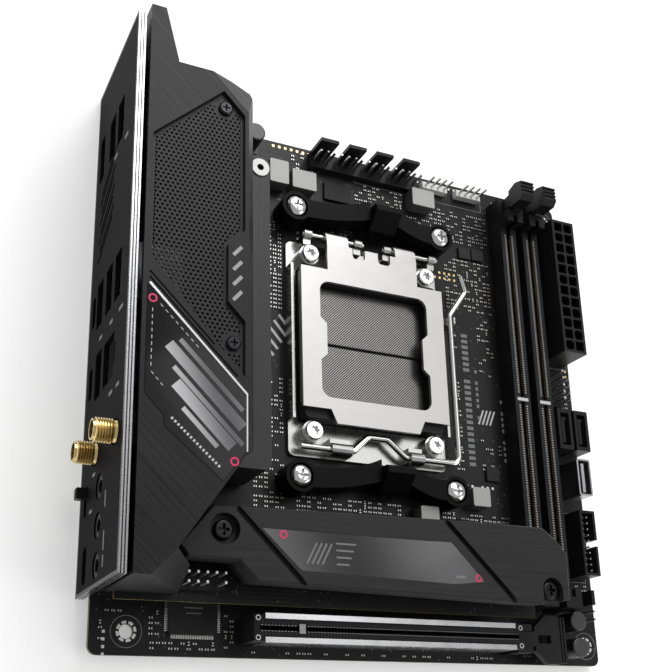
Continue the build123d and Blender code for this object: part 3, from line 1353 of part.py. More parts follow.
nodes = {
    "main_board": main_board(),
    "backplate": backplate(),
    "backplate_insulator": insulator(),
    "io_plate": io_plate(),
    "io_rim": io_rim(),
    "display_usb_stack": display_stack(),
    "usb_stack": usb_stack(),
    "lan_usb_stack": lan_stack(),
    "antenna_jacks": antenna_jacks(),
    "antenna_base": antenna_base(),
    "audio_jacks": audio_jacks(),
    "rear_usb_c": rear_usb_c(),
    "switch_base": switch_base(),
    "switch_slider": switch_slider(),
    "io_shroud": io_shroud(),
    "vrm_grille": vrm_grille(),
    "grille_screws": grille_screws(),
    "shroud_gloss_panel": gloss_panel(),
    "panel_trim": panel_trim(),
    "fan_frame": fan_frame(),
    "fan_rotor": fan_rotor(),
    "vrm_heatsink": vrm_heatsink(),
    "heatsink_washer": heatsink_washer(),
    "power_stages": power_stages(),
    "thermal_pad": thermal_pad(),
    "chokes": chokes(),
    "capacitors": capacitors(),
    "socket_body": socket_body(),
    "contact_field": contact_field(),
    "socket_frame": socket_frame(),
    "socket_screws": socket_screws(),
    "load_plate": load_plate(),
    "hinge_wires": hinge_wires(),
    "load_lever": load_lever(),
    "cooler_bracket_bottom": bracket(SOCKET_Y - COOLER_DY / 2),
    "cooler_bracket_top": bracket(SOCKET_Y + COOLER_DY / 2),
    "bracket_screws": bracket_screws(),
    "dimm_slot_a": dimm_slot(DIMM_X[0]),
    "dimm_slot_b": dimm_slot(DIMM_X[1]),
    "dimm_latch_a": dimm_latch(DIMM_X[0]),
    "dimm_latch_b": dimm_latch(DIMM_X[1]),
    "expansion_slot": expansion_slot(),
    "slot_shield": slot_shield(),
    "slot_latch": slot_latch(),
    "riser_board": riser_board(),
    "board_sockets": group([riser_connector(), storage_socket()]),
    "chipset": chipset(),
    "chipset_heatsink": chipset_heatsink(),
    "standoffs": standoffs(),
    "m2_base": m2_base(),
    "m2_cover": m2_cover(),
    "cover_gloss_strip": cover_gloss_strip(),
    "cover_screws": cover_screws(),
    "atx_power_socket": atx_shell,
    "cpu_power_socket": eps_shell,
    "sata_ports": sata_ports(),
    "front_usb_c": front_usb_c(),
    "header_bases": group(
        [base for kind, builds in header_builds.items() if kind != "led_header" for base, _ in builds]
    ),
    "contact_pins": group(
        atx_pins + eps_pins + [pin for builds in header_builds.values() for _, made in builds for pin in made]
    ),
    "led_headers": group([base for base, _ in header_builds["led_header"]]),
    "controller_chips": group([audio_chip()] + controller_chips()),
}

os.makedirs("parts", exist_ok=True)
for name, shape in nodes.items():
    export_step(place(shape), f"parts/{name}.step")
print(len(nodes), "nodes written")
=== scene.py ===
"""Looks of a compact computer motherboard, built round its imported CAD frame."""

import logging
import math
from dataclasses import dataclass
from enum import Enum
from typing import ClassVar, Iterable, Sequence, Union

import bmesh
import bpy
from mathutils import Matrix, Vector


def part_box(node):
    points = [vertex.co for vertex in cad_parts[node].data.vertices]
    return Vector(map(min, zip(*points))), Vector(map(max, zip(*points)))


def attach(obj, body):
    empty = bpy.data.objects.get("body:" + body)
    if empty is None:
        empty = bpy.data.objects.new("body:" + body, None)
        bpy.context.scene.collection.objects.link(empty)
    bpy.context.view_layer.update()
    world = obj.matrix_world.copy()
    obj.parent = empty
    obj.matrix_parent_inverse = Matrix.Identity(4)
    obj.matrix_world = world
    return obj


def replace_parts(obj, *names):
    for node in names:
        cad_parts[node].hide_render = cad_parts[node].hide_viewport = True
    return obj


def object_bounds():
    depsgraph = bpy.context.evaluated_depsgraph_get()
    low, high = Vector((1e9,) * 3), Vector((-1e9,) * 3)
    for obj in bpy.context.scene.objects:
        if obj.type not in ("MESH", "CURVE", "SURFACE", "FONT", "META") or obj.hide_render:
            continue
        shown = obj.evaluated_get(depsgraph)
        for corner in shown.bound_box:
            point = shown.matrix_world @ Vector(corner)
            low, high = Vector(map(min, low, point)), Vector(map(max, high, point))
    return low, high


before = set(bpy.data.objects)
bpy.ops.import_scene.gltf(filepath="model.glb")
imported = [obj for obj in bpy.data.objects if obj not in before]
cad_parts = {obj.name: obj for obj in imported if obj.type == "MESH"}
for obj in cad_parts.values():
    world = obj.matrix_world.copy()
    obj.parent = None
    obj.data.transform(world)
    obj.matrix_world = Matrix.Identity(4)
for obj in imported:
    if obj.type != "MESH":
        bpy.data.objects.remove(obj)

CAD_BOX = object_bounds()
MM = 0.001
FILM = 0.03   # thickness of a printed mark, in millimetres
WHOLE_STEPS = 48   # sides of a whole ring
PART_STEPS = 6   # sides of one segment of a parted ring
PART_SHARE = 0.68   # share of a segment that is solid
LOG = logging.getLogger("motherboard")
Point = tuple[float, float]
Colour = tuple[float, float, float]
Place = tuple[float, float, float]
Number = Union[float, "Term"]

BOARD_LOW, BOARD_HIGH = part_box("main_board")
CORNER = Vector((BOARD_LOW[0], BOARD_LOW[1], BOARD_HIGH[2]))   # rear lower corner of the board's top


def spot(x: float, y: float, z: float) -> Vector:
    """Turns millimetres from the board's corner into a place in the frame.

    Args:
        x: Towards the memory slots.
        y: Towards the fan headers.
        z: Up from the board's top face.

    Returns:
        The same place in metres.
    """
    return CORNER + Vector((x, y, z)) * MM


class Grain(Enum):
    """Which way a finish is streaked: degrees from +X, or no way at all."""

    NONE = None
    ALONG_X = 0.0
    ALONG_Y = 90.0
    DIAGONAL = -45.0


# ---- node trees ------------------------------------------------------------------------


class Term:
    """A shader socket that takes part in Python arithmetic."""

    def __init__(self, maker: "NodeMaker", socket: bpy.types.NodeSocket) -> None:
        """Wraps a socket of a maker's tree."""
        self.maker = maker
        self.socket = socket

    def math(self, operation: str, *others: Number) -> "Term":
        """Adds one Math node on this value and others.

        Args:
            operation: The Math node's operation.
            others: Numbers or terms for its further inputs.

        Returns:
            The result as a term.
        """
        inputs = {0: self}
        inputs.update({i + 1: other for i, other in enumerate(others)})
        node = self.maker.add("ShaderNodeMath", {"operation": operation}, inputs)
        return Term(self.maker, node.outputs[0])

    def __add__(self, other: Number) -> "Term":
        """Sum."""
        return self.math("ADD", other)

    __radd__ = __add__

    def __mul__(self, other: Number) -> "Term":
        """Product."""
        return self.math("MULTIPLY", other)

    __rmul__ = __mul__

    def __sub__(self, other: Number) -> "Term":
        """Difference."""
        return self.math("SUBTRACT", other)

    def __rsub__(self, other: Number) -> "Term":
        """Difference the other way round."""
        return self.math("MULTIPLY", -1.0).math("ADD", other)

    def above(self, level: float) -> "Term":
        """One where the value is over a level, else nothing."""
        return self.math("GREATER_THAN", level)

    def below(self, level: float) -> "Term":
        """One where the value is under a level, else nothing."""
        return self.math("LESS_THAN", level)


class NodeMaker:
    """Adds nodes to one tree, of a material or of geometry."""

    def __init__(self, tree: bpy.types.NodeTree) -> None:
        """Takes the tree and empties it."""
        self.tree = tree
        self.tree.nodes.clear()

    def add(self, kind: str, settings: dict | None = None, inputs: dict | None = None) -> bpy.types.Node:
        """Adds a node, sets it, then fills or links its sockets.

        Args:
            kind: The node's type.
            settings: Properties, set first.
            inputs: Socket name or index to a value, a Term or a socket.

        Returns:
            The node.
        """
        node = self.tree.nodes.new(kind)
        for name, value in (settings or {}).items():
            setattr(node, name, value)
        for name, value in (inputs or {}).items():
            socket = node.inputs[name]
            if isinstance(value, Term):
                value = value.socket
            if isinstance(value, bpy.types.NodeSocket):
                self.tree.links.new(value, socket)
            else:
                socket.default_value = value
        return node


class Finish(NodeMaker):
    """One material: its coordinates, patterns and shader."""

    def __init__(self, name: str) -> None:
        """Makes an empty material."""
        self.material = bpy.data.materials.new(name)
        self.material.use_nodes = True
        super().__init__(self.material.node_tree)
        self.place = self.add("ShaderNodeTexCoord").outputs["Object"]

    def axis(self, index: int) -> Term:
        """One coordinate of the surface point, in metres."""
        split = self.add("ShaderNodeSeparateXYZ", inputs={0: self.place})
        return Term(self, split.outputs[index])

    def noise(
        self,
        scale: float | Sequence[float],
        detail: float = 3.0,
        rough: float = 0.55,
        vector: bpy.types.NodeSocket | None = None,
    ) -> Term:
        """Noise on object coordinates.

        Args:
            scale: Cells per metre, one number or one for each axis.
            detail: Octaves.
            rough: How strong the finer octaves are.
            vector: Other coordinates to use.

        Returns:
            The noise, about 0.5 on average.
        """
        vector = vector or self.place
        if not isinstance(scale, (int, float)):
            vector = self.add("ShaderNodeMapping", inputs={"Vector": vector, "Scale": scale}).outputs[0]
            scale = 1.0
        inputs = {"Vector": vector, "Scale": scale, "Detail": detail, "Roughness": rough}
        return Term(self, self.add("ShaderNodeTexNoise", inputs=inputs).outputs[0])

    def streaks(self, turn: float, along: float = 30.0, across: float = 1150.0) -> Term:
        """Long thin streaks, as brushing or a drawn die leaves.

        Args:
            turn: Their direction, in degrees from +X.
            along: Cells per metre along them.
            across: Cells per metre across them.

        Returns:
            The streaks, about 0.5 on average.
        """
        inputs = {"Vector": self.place, "Rotation": (0.0, 0.0, math.radians(-turn))}
        turned = self.add("ShaderNodeMapping", inputs=inputs).outputs[0]
        return self.noise((along, across, across), 2.0, 0.6, turned)

    def along(self, turn: float) -> Term:
        """Distance in metres along a direction, in degrees from +X."""
        angle = math.radians(turn)
        return self.axis(0) * math.cos(angle) + self.axis(1) * math.sin(angle)

    def stripes(self, pitch: float, turn: float, width: float) -> Term:
        """Parallel lines across the XY plane.

        Args:
            pitch: From line to line, in metres.
            turn: Direction of the normal to the lines, in degrees from +X.
            width: Share of the pitch that is line.

        Returns:
            One on a line, nothing between.
        """
        return (self.along(turn) * (1.0 / pitch)).math("FRACT").below(width)

    def mix(self, factor: Number, low: Colour, high: Colour | bpy.types.NodeSocket) -> bpy.types.NodeSocket:
        """Blends two colours.

        Args:
            factor: Share of the second colour.
            low: First colour.
            high: Second colour, or a socket that carries one.

        Returns:
            The blended colour's socket.
        """
        first = low if isinstance(low, bpy.types.NodeSocket) else (*low, 1.0)
        second = high if isinstance(high, bpy.types.NodeSocket) else (*high, 1.0)
        node = self.add("ShaderNodeMix", {"data_type": "RGBA"}, {0: factor, 6: first, 7: second})
        return node.outputs[2]

    def bump(self, height: Term, depth: float) -> bpy.types.NodeSocket:
        """Turns a relief from 0 to 1, of a real depth in metres, into a normal."""
        inputs = {"Height": height, "Distance": depth, "Strength": 1.0}
        return self.add("ShaderNodeBump", inputs=inputs).outputs[0]

    def shade(self, **inputs: object) -> bpy.types.Material:
        """Ends the tree with a Principled shader.

        Args:
            inputs: Socket names, with underscores for spaces, and their values.

        Returns:
            The finished material.
        """
        named = {name.replace("_", " "): value for name, value in inputs.items()}
        for name, value in named.items():
            if name in ("Base Color", "Emission Color") and isinstance(value, tuple):
                named[name] = (*value, 1.0)
        shader = self.add("ShaderNodeBsdfPrincipled", inputs=named)
        self.add("ShaderNodeOutputMaterial", inputs={"Surface": shader.outputs[0]})
        return self.material


def scaled(colour: Colour, factor: float) -> Colour:
    """A colour made lighter or darker."""
    return tuple(channel * factor for channel in colour)


def around(mean: float, pattern: Term, swing: float) -> Term:
    """A value that a pattern from 0 to 1 swings evenly round its mean."""
    return pattern * swing + (mean - swing / 2)


@dataclass(frozen=True)
class Coating:
    """Powder-coated or anodised metal: fine tooth, streaks and a slight mottling."""

    name: str
    colour: Colour
    lift: float = 1.25
    rough: float = 0.42
    shine: float = 0.25
    grain: Grain = Grain.NONE
    tooth: float = 0.000012
    brushed: float = 2.8
    mottling: float = 60.0
    grit: float = 5200.0

    def build(self) -> bpy.types.Material:
        """Returns the material."""
        finish = Finish(self.name)
        cloud = finish.noise(self.mottling, 2.0)
        fine = finish.noise(self.grit, 2.0)
        if self.grain is Grain.NONE:
            relief, tone = fine, cloud * 0.6 + fine * 0.4
        else:
            streak = (finish.streaks(self.grain.value) - 0.5) * self.brushed + 0.5
            relief, tone = fine * 0.3 + streak * 0.9, cloud * 0.35 + streak * 0.65
        dark = tuple(channel / self.lift for channel in self.colour)
        return finish.shade(
            Base_Color=finish.mix(tone, dark, scaled(self.colour, self.lift)),
            Roughness=around(self.rough, relief, 0.14),
            Specular_IOR_Level=self.shine,
            Normal=finish.bump(relief, self.tooth),
        )


@dataclass(frozen=True)
class Moulding:
    """Injection-moulded plastic: a fine spark-eroded grain and faint flow marks."""

    name: str
    colour: Colour
    rough: float = 0.46
    tooth: float = 0.00001
    flow: float = 0.16
    shine: float = 0.2
    grit: float = 4200.0
    swirl: Place = (90.0, 90.0, 30.0)

    def build(self) -> bpy.types.Material:
        """Returns the material."""
        finish = Finish(self.name)
        grain = finish.noise(self.grit, 3.0)
        flow = finish.noise(self.swirl, 2.0)
        pale = tuple(min(1.0, channel) for channel in scaled(self.colour, 1.0 + 2.0 * self.flow))
        return finish.shade(
            Base_Color=finish.mix(flow, scaled(self.colour, 1.0 - self.flow), pale),
            Roughness=around(self.rough, grain, 0.16),
            Specular_IOR_Level=self.shine,
            Normal=finish.bump(grain, self.tooth),
        )


@dataclass(frozen=True)
class BareMetal:
    """Stamped, turned or plated metal with rolling lines and handling marks."""

    name: str
    colour: Colour
    rough: float = 0.24
    grain: Grain = Grain.NONE
    tooth: float = 0.000004
    smears: float = 160.0
    grit: float = 3200.0
    dulled: float = 0.82

    def build(self) -> bpy.types.Material:
        """Returns the material."""
        finish = Finish(self.name)
        smear = finish.noise(self.smears, 3.0)
        speck = finish.noise(self.grit, 2.0)
        relief = speck
        if self.grain is not Grain.NONE:
            relief = speck * 0.35 + finish.streaks(self.grain.value) * 0.65
        return finish.shade(
            Base_Color=finish.mix(smear, scaled(self.colour, self.dulled), self.colour),
            Metallic=1.0,
            Roughness=smear * 0.12 + relief * 0.1 + (self.rough - 0.1),
            Normal=finish.bump(relief, self.tooth),
        )


@dataclass(frozen=True)
class PolishedPanel:
    """Gloss-black insert under a clear coat, with a soft diagonal sheen painted into its colour as a band of
    painted reflection, and fine scratches.
    """

    name: str
    colour: Colour = (0.004, 0.004, 0.0045)
    # colour at the bright crest of the painted sheen band
    sheen: Colour = (0.020, 0.020, 0.021)
    turn: float = 45.0
    length: float = 0.05
    scratches: Place = (300.0, 9000.0, 300.0)
    scratched: float = 0.72
    gloss: float = 0.12

    def build(self) -> bpy.types.Material:
        """Returns the material."""
        finish = Finish(self.name)
        # painted reflection: a soft diagonal band of sheen painted into the base colour
        painted_sheen_band = (finish.along(self.turn) * (2.0 * math.pi / self.length)).math("SINE") * 0.5 + 0.5
        scratch = finish.noise(self.scratches, 1.0).above(self.scratched)
        return finish.shade(
            Base_Color=finish.mix(painted_sheen_band, self.colour, self.sheen),
            Roughness=scratch * self.gloss + self.gloss,
            Specular_IOR_Level=0.22,
            Coat_Weight=0.12,
            Coat_Roughness=0.05,
        )


@dataclass(frozen=True)
class SolderMask:
    """Black solder mask over copper: faint tracks, plane edges and pinned vias."""

    name: str = "black_solder_mask"
    mask: Colour = (0.0065, 0.0067, 0.0072)
    track: Colour = (0.0105, 0.0108, 0.0115)
    edge: Colour = (0.10, 0.075, 0.03)
    via: Colour = (0.09, 0.088, 0.08)
    patch: float = 60.0   # patches of tracks in a metre
    shares: Place = (0.34, 0.58, 0.66)   # upright tracks below, slanted between, level ones above
    vias: float = 520.0   # vias in a metre
    via_size: float = 0.17
    via_clusters: float = 0.52
    pitch: float = 0.0011
    slant_pitch: float = 0.0013
    width: float = 0.42
    slant_width: float = 0.4

    def build(self) -> bpy.types.Material:
        """Returns the material."""
        finish = Finish(self.name)
        inputs = {"Vector": finish.place, "Scale": self.patch}
        patches = finish.add("ShaderNodeTexVoronoi", {"distance": "CHEBYCHEV"}, inputs)
        split = finish.add("ShaderNodeSeparateColor", inputs={0: patches.outputs["Color"]})
        pick = Term(finish, split.outputs[0])
        first, second, third = self.shares
        upright = finish.stripes(self.pitch, 0.0, self.width) * pick.below(first)
        level = finish.stripes(self.pitch, 90.0, self.width) * pick.above(third)
        diagonal = finish.stripes(self.slant_pitch, 45.0, self.slant_width) * pick.above(first) * pick.below(second)
        tracks = upright + level + diagonal
        dots = finish.add("ShaderNodeTexVoronoi", inputs={"Vector": finish.place, "Scale": self.vias})
        cluster = finish.noise(70.0, 1.0).above(self.via_clusters)
        via = Term(finish, dots.outputs["Distance"]).below(self.via_size) * cluster
        skin = finish.mix(tracks, self.mask, self.track)
        dotted = finish.mix(via * 0.75, skin, self.via)
        geometry = finish.add("ShaderNodeNewGeometry")
        normal = finish.add("ShaderNodeSeparateXYZ", inputs={0: geometry.outputs["True Normal"]})
        side = Term(finish, normal.outputs[2]).math("ABSOLUTE").below(0.5)
        return finish.shade(
            Base_Color=finish.mix(side, dotted, self.edge),
            Roughness=finish.noise(900.0, 2.0) * 0.12 + 0.3,
            Specular_IOR_Level=0.25,
            Normal=finish.bump(tracks * 0.7 + finish.noise(2400.0, 2.0) * 0.3, 0.000012),
        )


@dataclass(frozen=True)
class TwoTone:
    """A piece whose top face, above a given height, is coloured apart from its sides, such as a pressed choke's
    lighter top.
    """

    name: str
    top: Colour
    side: Colour
    height: float
    metallic: float = 0.2
    rough: float = 0.5
    weave: float = 0.0006
    grit: float = 2600.0

    def build(self) -> bpy.types.Material:
        """Returns the material."""
        finish = Finish(self.name)
        crown = finish.axis(2).above(self.height)
        weave = finish.stripes(self.weave, 0.0, 0.5) * 0.5 + finish.noise(self.grit, 2.0) * 0.5
        shaded = finish.mix(weave, scaled(self.top, 0.86), self.top)
        return finish.shade(
            Base_Color=finish.mix(crown, self.side, shaded),
            Metallic=crown * self.metallic,
            Roughness=around(self.rough, weave, 0.14),
            Normal=finish.bump(weave, 0.00001),
        )


@dataclass(frozen=True)
class GroovedRim:
    """Tinplate rim with painted shade in its two rolled grooves: dark stripes in the metal's colour where the
    grooves fall into shade.
    """

    name: str = "tinplate_with_painted_groove_shade"
    colour: Colour = (0.50, 0.50, 0.51)
    # colour of the painted shade in the grooves
    groove: Colour = (0.07, 0.07, 0.074)
    first: float = -2.6
    pitch: float = 0.0008
    share: float = 0.44
    grit: float = 2400.0

    def build(self) -> bpy.types.Material:
        """Returns the material."""
        finish = Finish(self.name)
        run = (finish.axis(0) - spot(self.first, 0.0, 0.0).x) * (1.0 / self.pitch)
        # painted shade: stripes across the rim, darkened where its grooves lie
        dark = run.math("FRACT").below(self.share)
        speck = finish.noise(self.grit, 2.0)
        return finish.shade(
            Base_Color=finish.mix(dark, self.colour, self.groove),
            Metallic=1.0,
            Roughness=speck * 0.2 + dark * 0.15 + 0.16,
            Normal=finish.bump(speck, 0.000004),
        )


@dataclass(frozen=True)
class Ink:
    """Printed or painted mark with a slightly uneven film."""

    name: str
    colour: Colour
    rough: float = 0.5
    grit: float = 2600.0
    faded: float = 0.8

    def build(self) -> bpy.types.Material:
        """Returns the material."""
        finish = Finish(self.name)
        film = finish.noise(self.grit, 2.0)
        return finish.shade(
            Base_Color=finish.mix(film, scaled(self.colour, self.faded), self.colour),
            Roughness=around(self.rough, film, 0.12),
        )


# ---- meshes ------------------------------------------------------------------------------


def link(made: bpy.types.Object) -> bpy.types.Object:
    """Puts an object into the scene and returns it."""
    bpy.context.scene.collection.objects.link(made)
    return made


class MeshTree(NodeMaker):
    """Geometry tree with named inputs that is run once for each mesh it makes."""

    def __init__(self, name: str, inputs: dict[str, str]) -> None:
        """Makes the tree and its interface.

        Args:
            name: The tree's name.
            inputs: Input names and the kinds of their sockets.
        """
        super().__init__(bpy.data.node_groups.new(name, "GeometryNodeTree"))
        face = self.tree.interface
        for title, kind in {"Geometry": "Geometry", **inputs, "Finish": "Material"}.items():
            face.new_socket(title, in_out="INPUT", socket_type=f"NodeSocket{kind}")
        face.new_socket("Geometry", in_out="OUTPUT", socket_type="NodeSocketGeometry")
        self.keys = {item.name: item.identifier for item in face.items_tree if item.in_out == "INPUT"}
        self.given = self.add("NodeGroupInput").outputs

    def of(self, kind: str, settings: dict | None = None, **inputs: object) -> bpy.types.NodeSocket:
        """Adds a node.

        Args:
            kind: The node's type.
            settings: Properties, set first.
            inputs: Socket names, with underscores for spaces, and their values.

        Returns:
            Its first output.
        """
        named = {name.replace("_", " "): value for name, value in inputs.items()}
        return self.add(kind, settings, named).outputs[0]

    def end(self, copies: bpy.types.NodeSocket) -> None:
        """Makes the copies real, dresses them and ends the tree."""
        real = self.of("GeometryNodeRealizeInstances", Geometry=copies)
        dressed = self.of("GeometryNodeSetMaterial", Geometry=real, Material=self.given["Finish"])
        self.add("NodeGroupOutput", inputs={0: dressed})

    def run(self, points: bpy.types.Mesh, values: dict[str, object]) -> bpy.types.Mesh:
        """Evaluates the tree once.

        Args:
            points: The mesh that the tree is given, removed here.
            values: Input names and their values, lengths in metres.

        Returns:
            The result as a plain mesh.
        """
        holder = link(bpy.data.objects.new("tree_holder", points))
        modifier = holder.modifiers.new("tree", "NODES")
        modifier.node_group = self.tree
        for name, value in values.items():
            modifier[self.keys[name]] = value
        graph = bpy.context.evaluated_depsgraph_get()
        made = bpy.data.meshes.new_from_object(holder.evaluated_get(graph))
        holder.modifiers.remove(modifier)
        bpy.data.objects.remove(holder)
        bpy.data.meshes.remove(points)
        return made


class Repeater(MeshTree):
    """Repeats a small block on a grid, with some left out."""

    SIZES = {
        "Columns": "Int", "Rows": "Int", "Width": "Float", "Depth": "Float", "Block": "Vector",
        "Copies": "Int", "Spread": "Float", "Drop": "Float", "Turned": "Float", "Lean": "Vector", "Seed": "Int",
    }

    def __init__(self) -> None:
        """Builds the tree once."""
        super().__init__("repeat_block_on_grid", self.SIZES)
        given = self.given
        grid = self.of(
            "GeometryNodeMeshGrid",
            Size_X=given["Width"], Size_Y=given["Depth"], Vertices_X=given["Columns"], Vertices_Y=given["Rows"],
        )
        gone = self.chance(given["Drop"])
        kept = self.of("GeometryNodeDeleteGeometry", {"domain": "POINT"}, Geometry=grid, Selection=gone)
        block = self.of("GeometryNodeMeshCube", Size=given["Block"])
        back = Term(self, given["Copies"]).math("SUBTRACT", 1.0) * -0.5 * Term(self, given["Spread"])
        first = self.of("ShaderNodeCombineXYZ", X=back)
        step = self.of("ShaderNodeCombineXYZ", X=given["Spread"])
        line = self.of("GeometryNodeMeshLine", Count=given["Copies"], Start_Location=first, Offset=step)
        group = self.of("GeometryNodeInstanceOnPoints", Points=line, Instance=block)
        quarter = Term(self, self.chance(given["Turned"])) * (math.pi / 2.0)
        yaw = self.of("ShaderNodeCombineXYZ", Z=quarter)
        total = self.add("ShaderNodeVectorMath", {"operation": "ADD"}, {0: yaw, 1: given["Lean"]}).outputs[0]
        turn = self.add("FunctionNodeEulerToRotation", inputs={0: total}).outputs[0]
        self.end(self.of("GeometryNodeInstanceOnPoints", Points=kept, Instance=group, Rotation=turn))

    def chance(self, share: bpy.types.NodeSocket) -> bpy.types.NodeSocket:
        """True at random, for a share of the points, from the tree's seed."""
        inputs = {"Probability": share, "Seed": self.given["Seed"]}
        return self.add("FunctionNodeRandomValue", {"data_type": "BOOLEAN"}, inputs).outputs[3]


class Scatter(MeshTree):
    """Sets a copy of one shape on every point."""

    def __init__(self) -> None:
        """Builds the tree once."""
        super().__init__("shape_on_points", {"Shape": "Object"})
        shape = self.add("GeometryNodeObjectInfo", inputs={"Object": self.given["Shape"]}).outputs["Geometry"]
        self.end(self.of("GeometryNodeInstanceOnPoints", Points=self.given["Geometry"], Instance=shape))

    def spread(self, places: Sequence[Vector], shape: bpy.types.Mesh, finish: bpy.types.Material) -> bpy.types.Mesh:
        """Sets the copies out.

        Args:
            places: Where they stand, in metres.
            shape: The shape, built at the origin and removed here.
            finish: Its material.

        Returns:
            All the copies as one plain mesh.
        """
        points = bpy.data.meshes.new("points")
        points.from_pydata([tuple(place) for place in places], [], [])
        model = link(bpy.data.objects.new("scatter_shape", shape))
        made = self.run(points, {"Shape": model, "Finish": finish})
        bpy.data.objects.remove(model)
        bpy.data.meshes.remove(shape)
        return made


REPEATER = Repeater()
SCATTER = Scatter()


@dataclass(frozen=True)
class Grid:
    """A block repeated on a grid. Lengths are in millimetres from the board's corner."""

    centre: Place
    columns: int
    rows: int
    pitch: Point
    block: Place
    copies: int = 1
    spread: float = 0.0
    drop: float = 0.0
    turned: float = 0.0
    lean: Place = (0.0, 0.0, 0.0)
    seed: int = 1

    def mesh(self, finish: str) -> bpy.types.Mesh:
        """Makes the repeated blocks.

        Args:
            finish: Their finish's name.

        Returns:
            One mesh, in the frame's place.
        """
        made = REPEATER.run(
            bpy.data.meshes.new("start"),
            {
                "Columns": self.columns,
                "Rows": self.rows,
                "Width": (self.columns - 1) * self.pitch[0] * MM,
                "Depth": (self.rows - 1) * self.pitch[1] * MM,
                "Block": tuple(length * MM for length in self.block),
                "Copies": self.copies,
                "Spread": self.spread * MM,
                "Drop": self.drop,
                "Turned": self.turned,
                "Lean": self.lean,
                "Seed": self.seed,
                "Finish": FINISHES[finish],
            },
        )
        made.transform(Matrix.Translation(spot(*self.centre)))
        return made


def to_mesh(name: str, build: bmesh.types.BMesh) -> bpy.types.Mesh:
    """Closes a bmesh into a mesh with its faces turned outwards.

    Args:
        name: The mesh's name.
        build: The bmesh, freed here.

    Returns:
        The mesh.
    """
    bmesh.ops.recalc_face_normals(build, faces=build.faces)
    mesh = bpy.data.meshes.new(name)
    build.to_mesh(mesh)
    build.free()
    return mesh


def slab(points: Sequence[Point], z0: float, z1: float, soften: float = 0.0) -> bpy.types.Mesh:
    """A flat plate on an outline, in millimetres from the board's corner.

    Args:
        points: The outline.
        z0: Underside.
        z1: Top.
        soften: Width of the bevel round its top edge.

    Returns:
        The mesh.
    """
    build = bmesh.new()
    low = [build.verts.new(spot(x, y, z0)) for x, y in points]
    high = [build.verts.new(spot(x, y, z1)) for x, y in points]
    build.faces.new(low)
    top = build.faces.new(high)
    count = len(points)
    for i in range(count):
        build.faces.new((low[i], low[(i + 1) % count], high[(i + 1) % count], high[i]))
    if soften:
        edges = list(top.edges)
        bmesh.ops.bevel(build, geom=edges, offset=soften * MM, segments=2, affect="EDGES")
    return to_mesh("slab", build)


def rectangle(x: float, y: float, w: float, d: float, turn: float = 0.0) -> list[Point]:
    """Corners of a turned rectangle.

    Args:
        x: Middle along X.
        y: Middle along Y.
        w: Length before turning.
        d: Width before turning.
        turn: Degrees about +Z.

    Returns:
        Its four corners.
    """
    c, s = math.cos(math.radians(turn)), math.sin(math.radians(turn))
    corners = ((-w / 2, -d / 2), (w / 2, -d / 2), (w / 2, d / 2), (-w / 2, d / 2))
    return [(x + c * px - s * py, y + s * px + c * py) for px, py in corners]


def stroke(start: Point, end: Point, width: float) -> list[Point]:
    """Outline of a straight line of some width.

    Args:
        start: Its first end.
        end: Its other end.
        width: Its width.

    Returns:
        Four corners.
    """
    middle = ((start[0] + end[0]) / 2, (start[1] + end[1]) / 2)
    run = (end[0] - start[0], end[1] - start[1])
    return rectangle(*middle, math.hypot(*run), width, math.degrees(math.atan2(run[1], run[0])))


def line(start: Point, end: Point, width: float, z: float = 0.0) -> bpy.types.Mesh:
    """A printed line.

    Args:
        start: Its first end.
        end: Its other end.
        width: Its width.
        z: The height of the face that carries it.

    Returns:
        The mesh.
    """
    return slab(stroke(start, end, width), z, z + FILM)


def bridge(build: bmesh.types.BMesh, loops: Sequence[Sequence[bmesh.types.BMVert]], closed: bool = True) -> None:
    """Skins a run of four-cornered loops.

    Args:
        build: The bmesh that holds them.
        loops: Their corners, in order.
        closed: Whether the last loop joins the first. An open run is capped.
    """
    pairs = list(zip(loops, loops[1:])) + ([(loops[-1], loops[0])] if closed else [])
    for left, right in pairs:
        for k in range(4):
            build.faces.new((left[k], left[(k + 1) % 4], right[(k + 1) % 4], right[k]))
    if not closed:
        build.faces.new(loops[0])
        build.faces.new(loops[-1])


def ring(x: float, y: float, outer: float, inner: float, z0: float, z1: float, parts: int = 0) -> bpy.types.Mesh:
    """A flat ring, whole or in separate segments.

    Args:
        x: Middle along X.
        y: Middle along Y.
        outer: Outer radius.
        inner: Inner radius.
        z0: Underside.
        z1: Top.
        parts: How many segments; none makes a whole ring.

    Returns:
        The mesh.
    """
    build = bmesh.new()
    steps, segment = (PART_STEPS, 360.0 / parts) if parts else (WHOLE_STEPS, 360.0)
    length = segment * PART_SHARE if parts else segment
    for part in range(max(1, parts)):
        loops = []
        for i in range(steps + 1 if parts else steps):
            angle = math.radians(segment * part + length * i / steps)
            c, s = math.cos(angle), math.sin(angle)
            corners = ((outer, z0), (outer, z1), (inner, z1), (inner, z0))
            loops.append([build.verts.new(spot(x + r * c, y + r * s, z)) for r, z in corners])
        bridge(build, loops, closed=not parts)
    return to_mesh("ring", build)


def inset(points: Sequence[Point], amount: float) -> list[Point]:
    """Draws a polygon in by the same amount on every side.

    Args:
        points: Its corners.
        amount: How far the sides move inwards.

    Returns:
        The new corners.
    """
    count = len(points)
    corners = [Vector(point) for point in points]
    area = sum(corners[i - 1].cross(corners[i]) for i in range(count))
    side = 1.0 if area > 0 else -1.0
    moved = []
    for i in range(count):
        before, here, after = corners[i - 1], corners[i], corners[(i + 1) % count]
        a, b = (here - before).normalized(), (after - here).normalized()
        normals = [Vector((-v.y, v.x)) * side for v in (a, b)]
        bisector = (normals[0] + normals[1]).normalized()
        moved.append(tuple(here + bisector * (amount / bisector.dot(normals[0]))))
    return moved


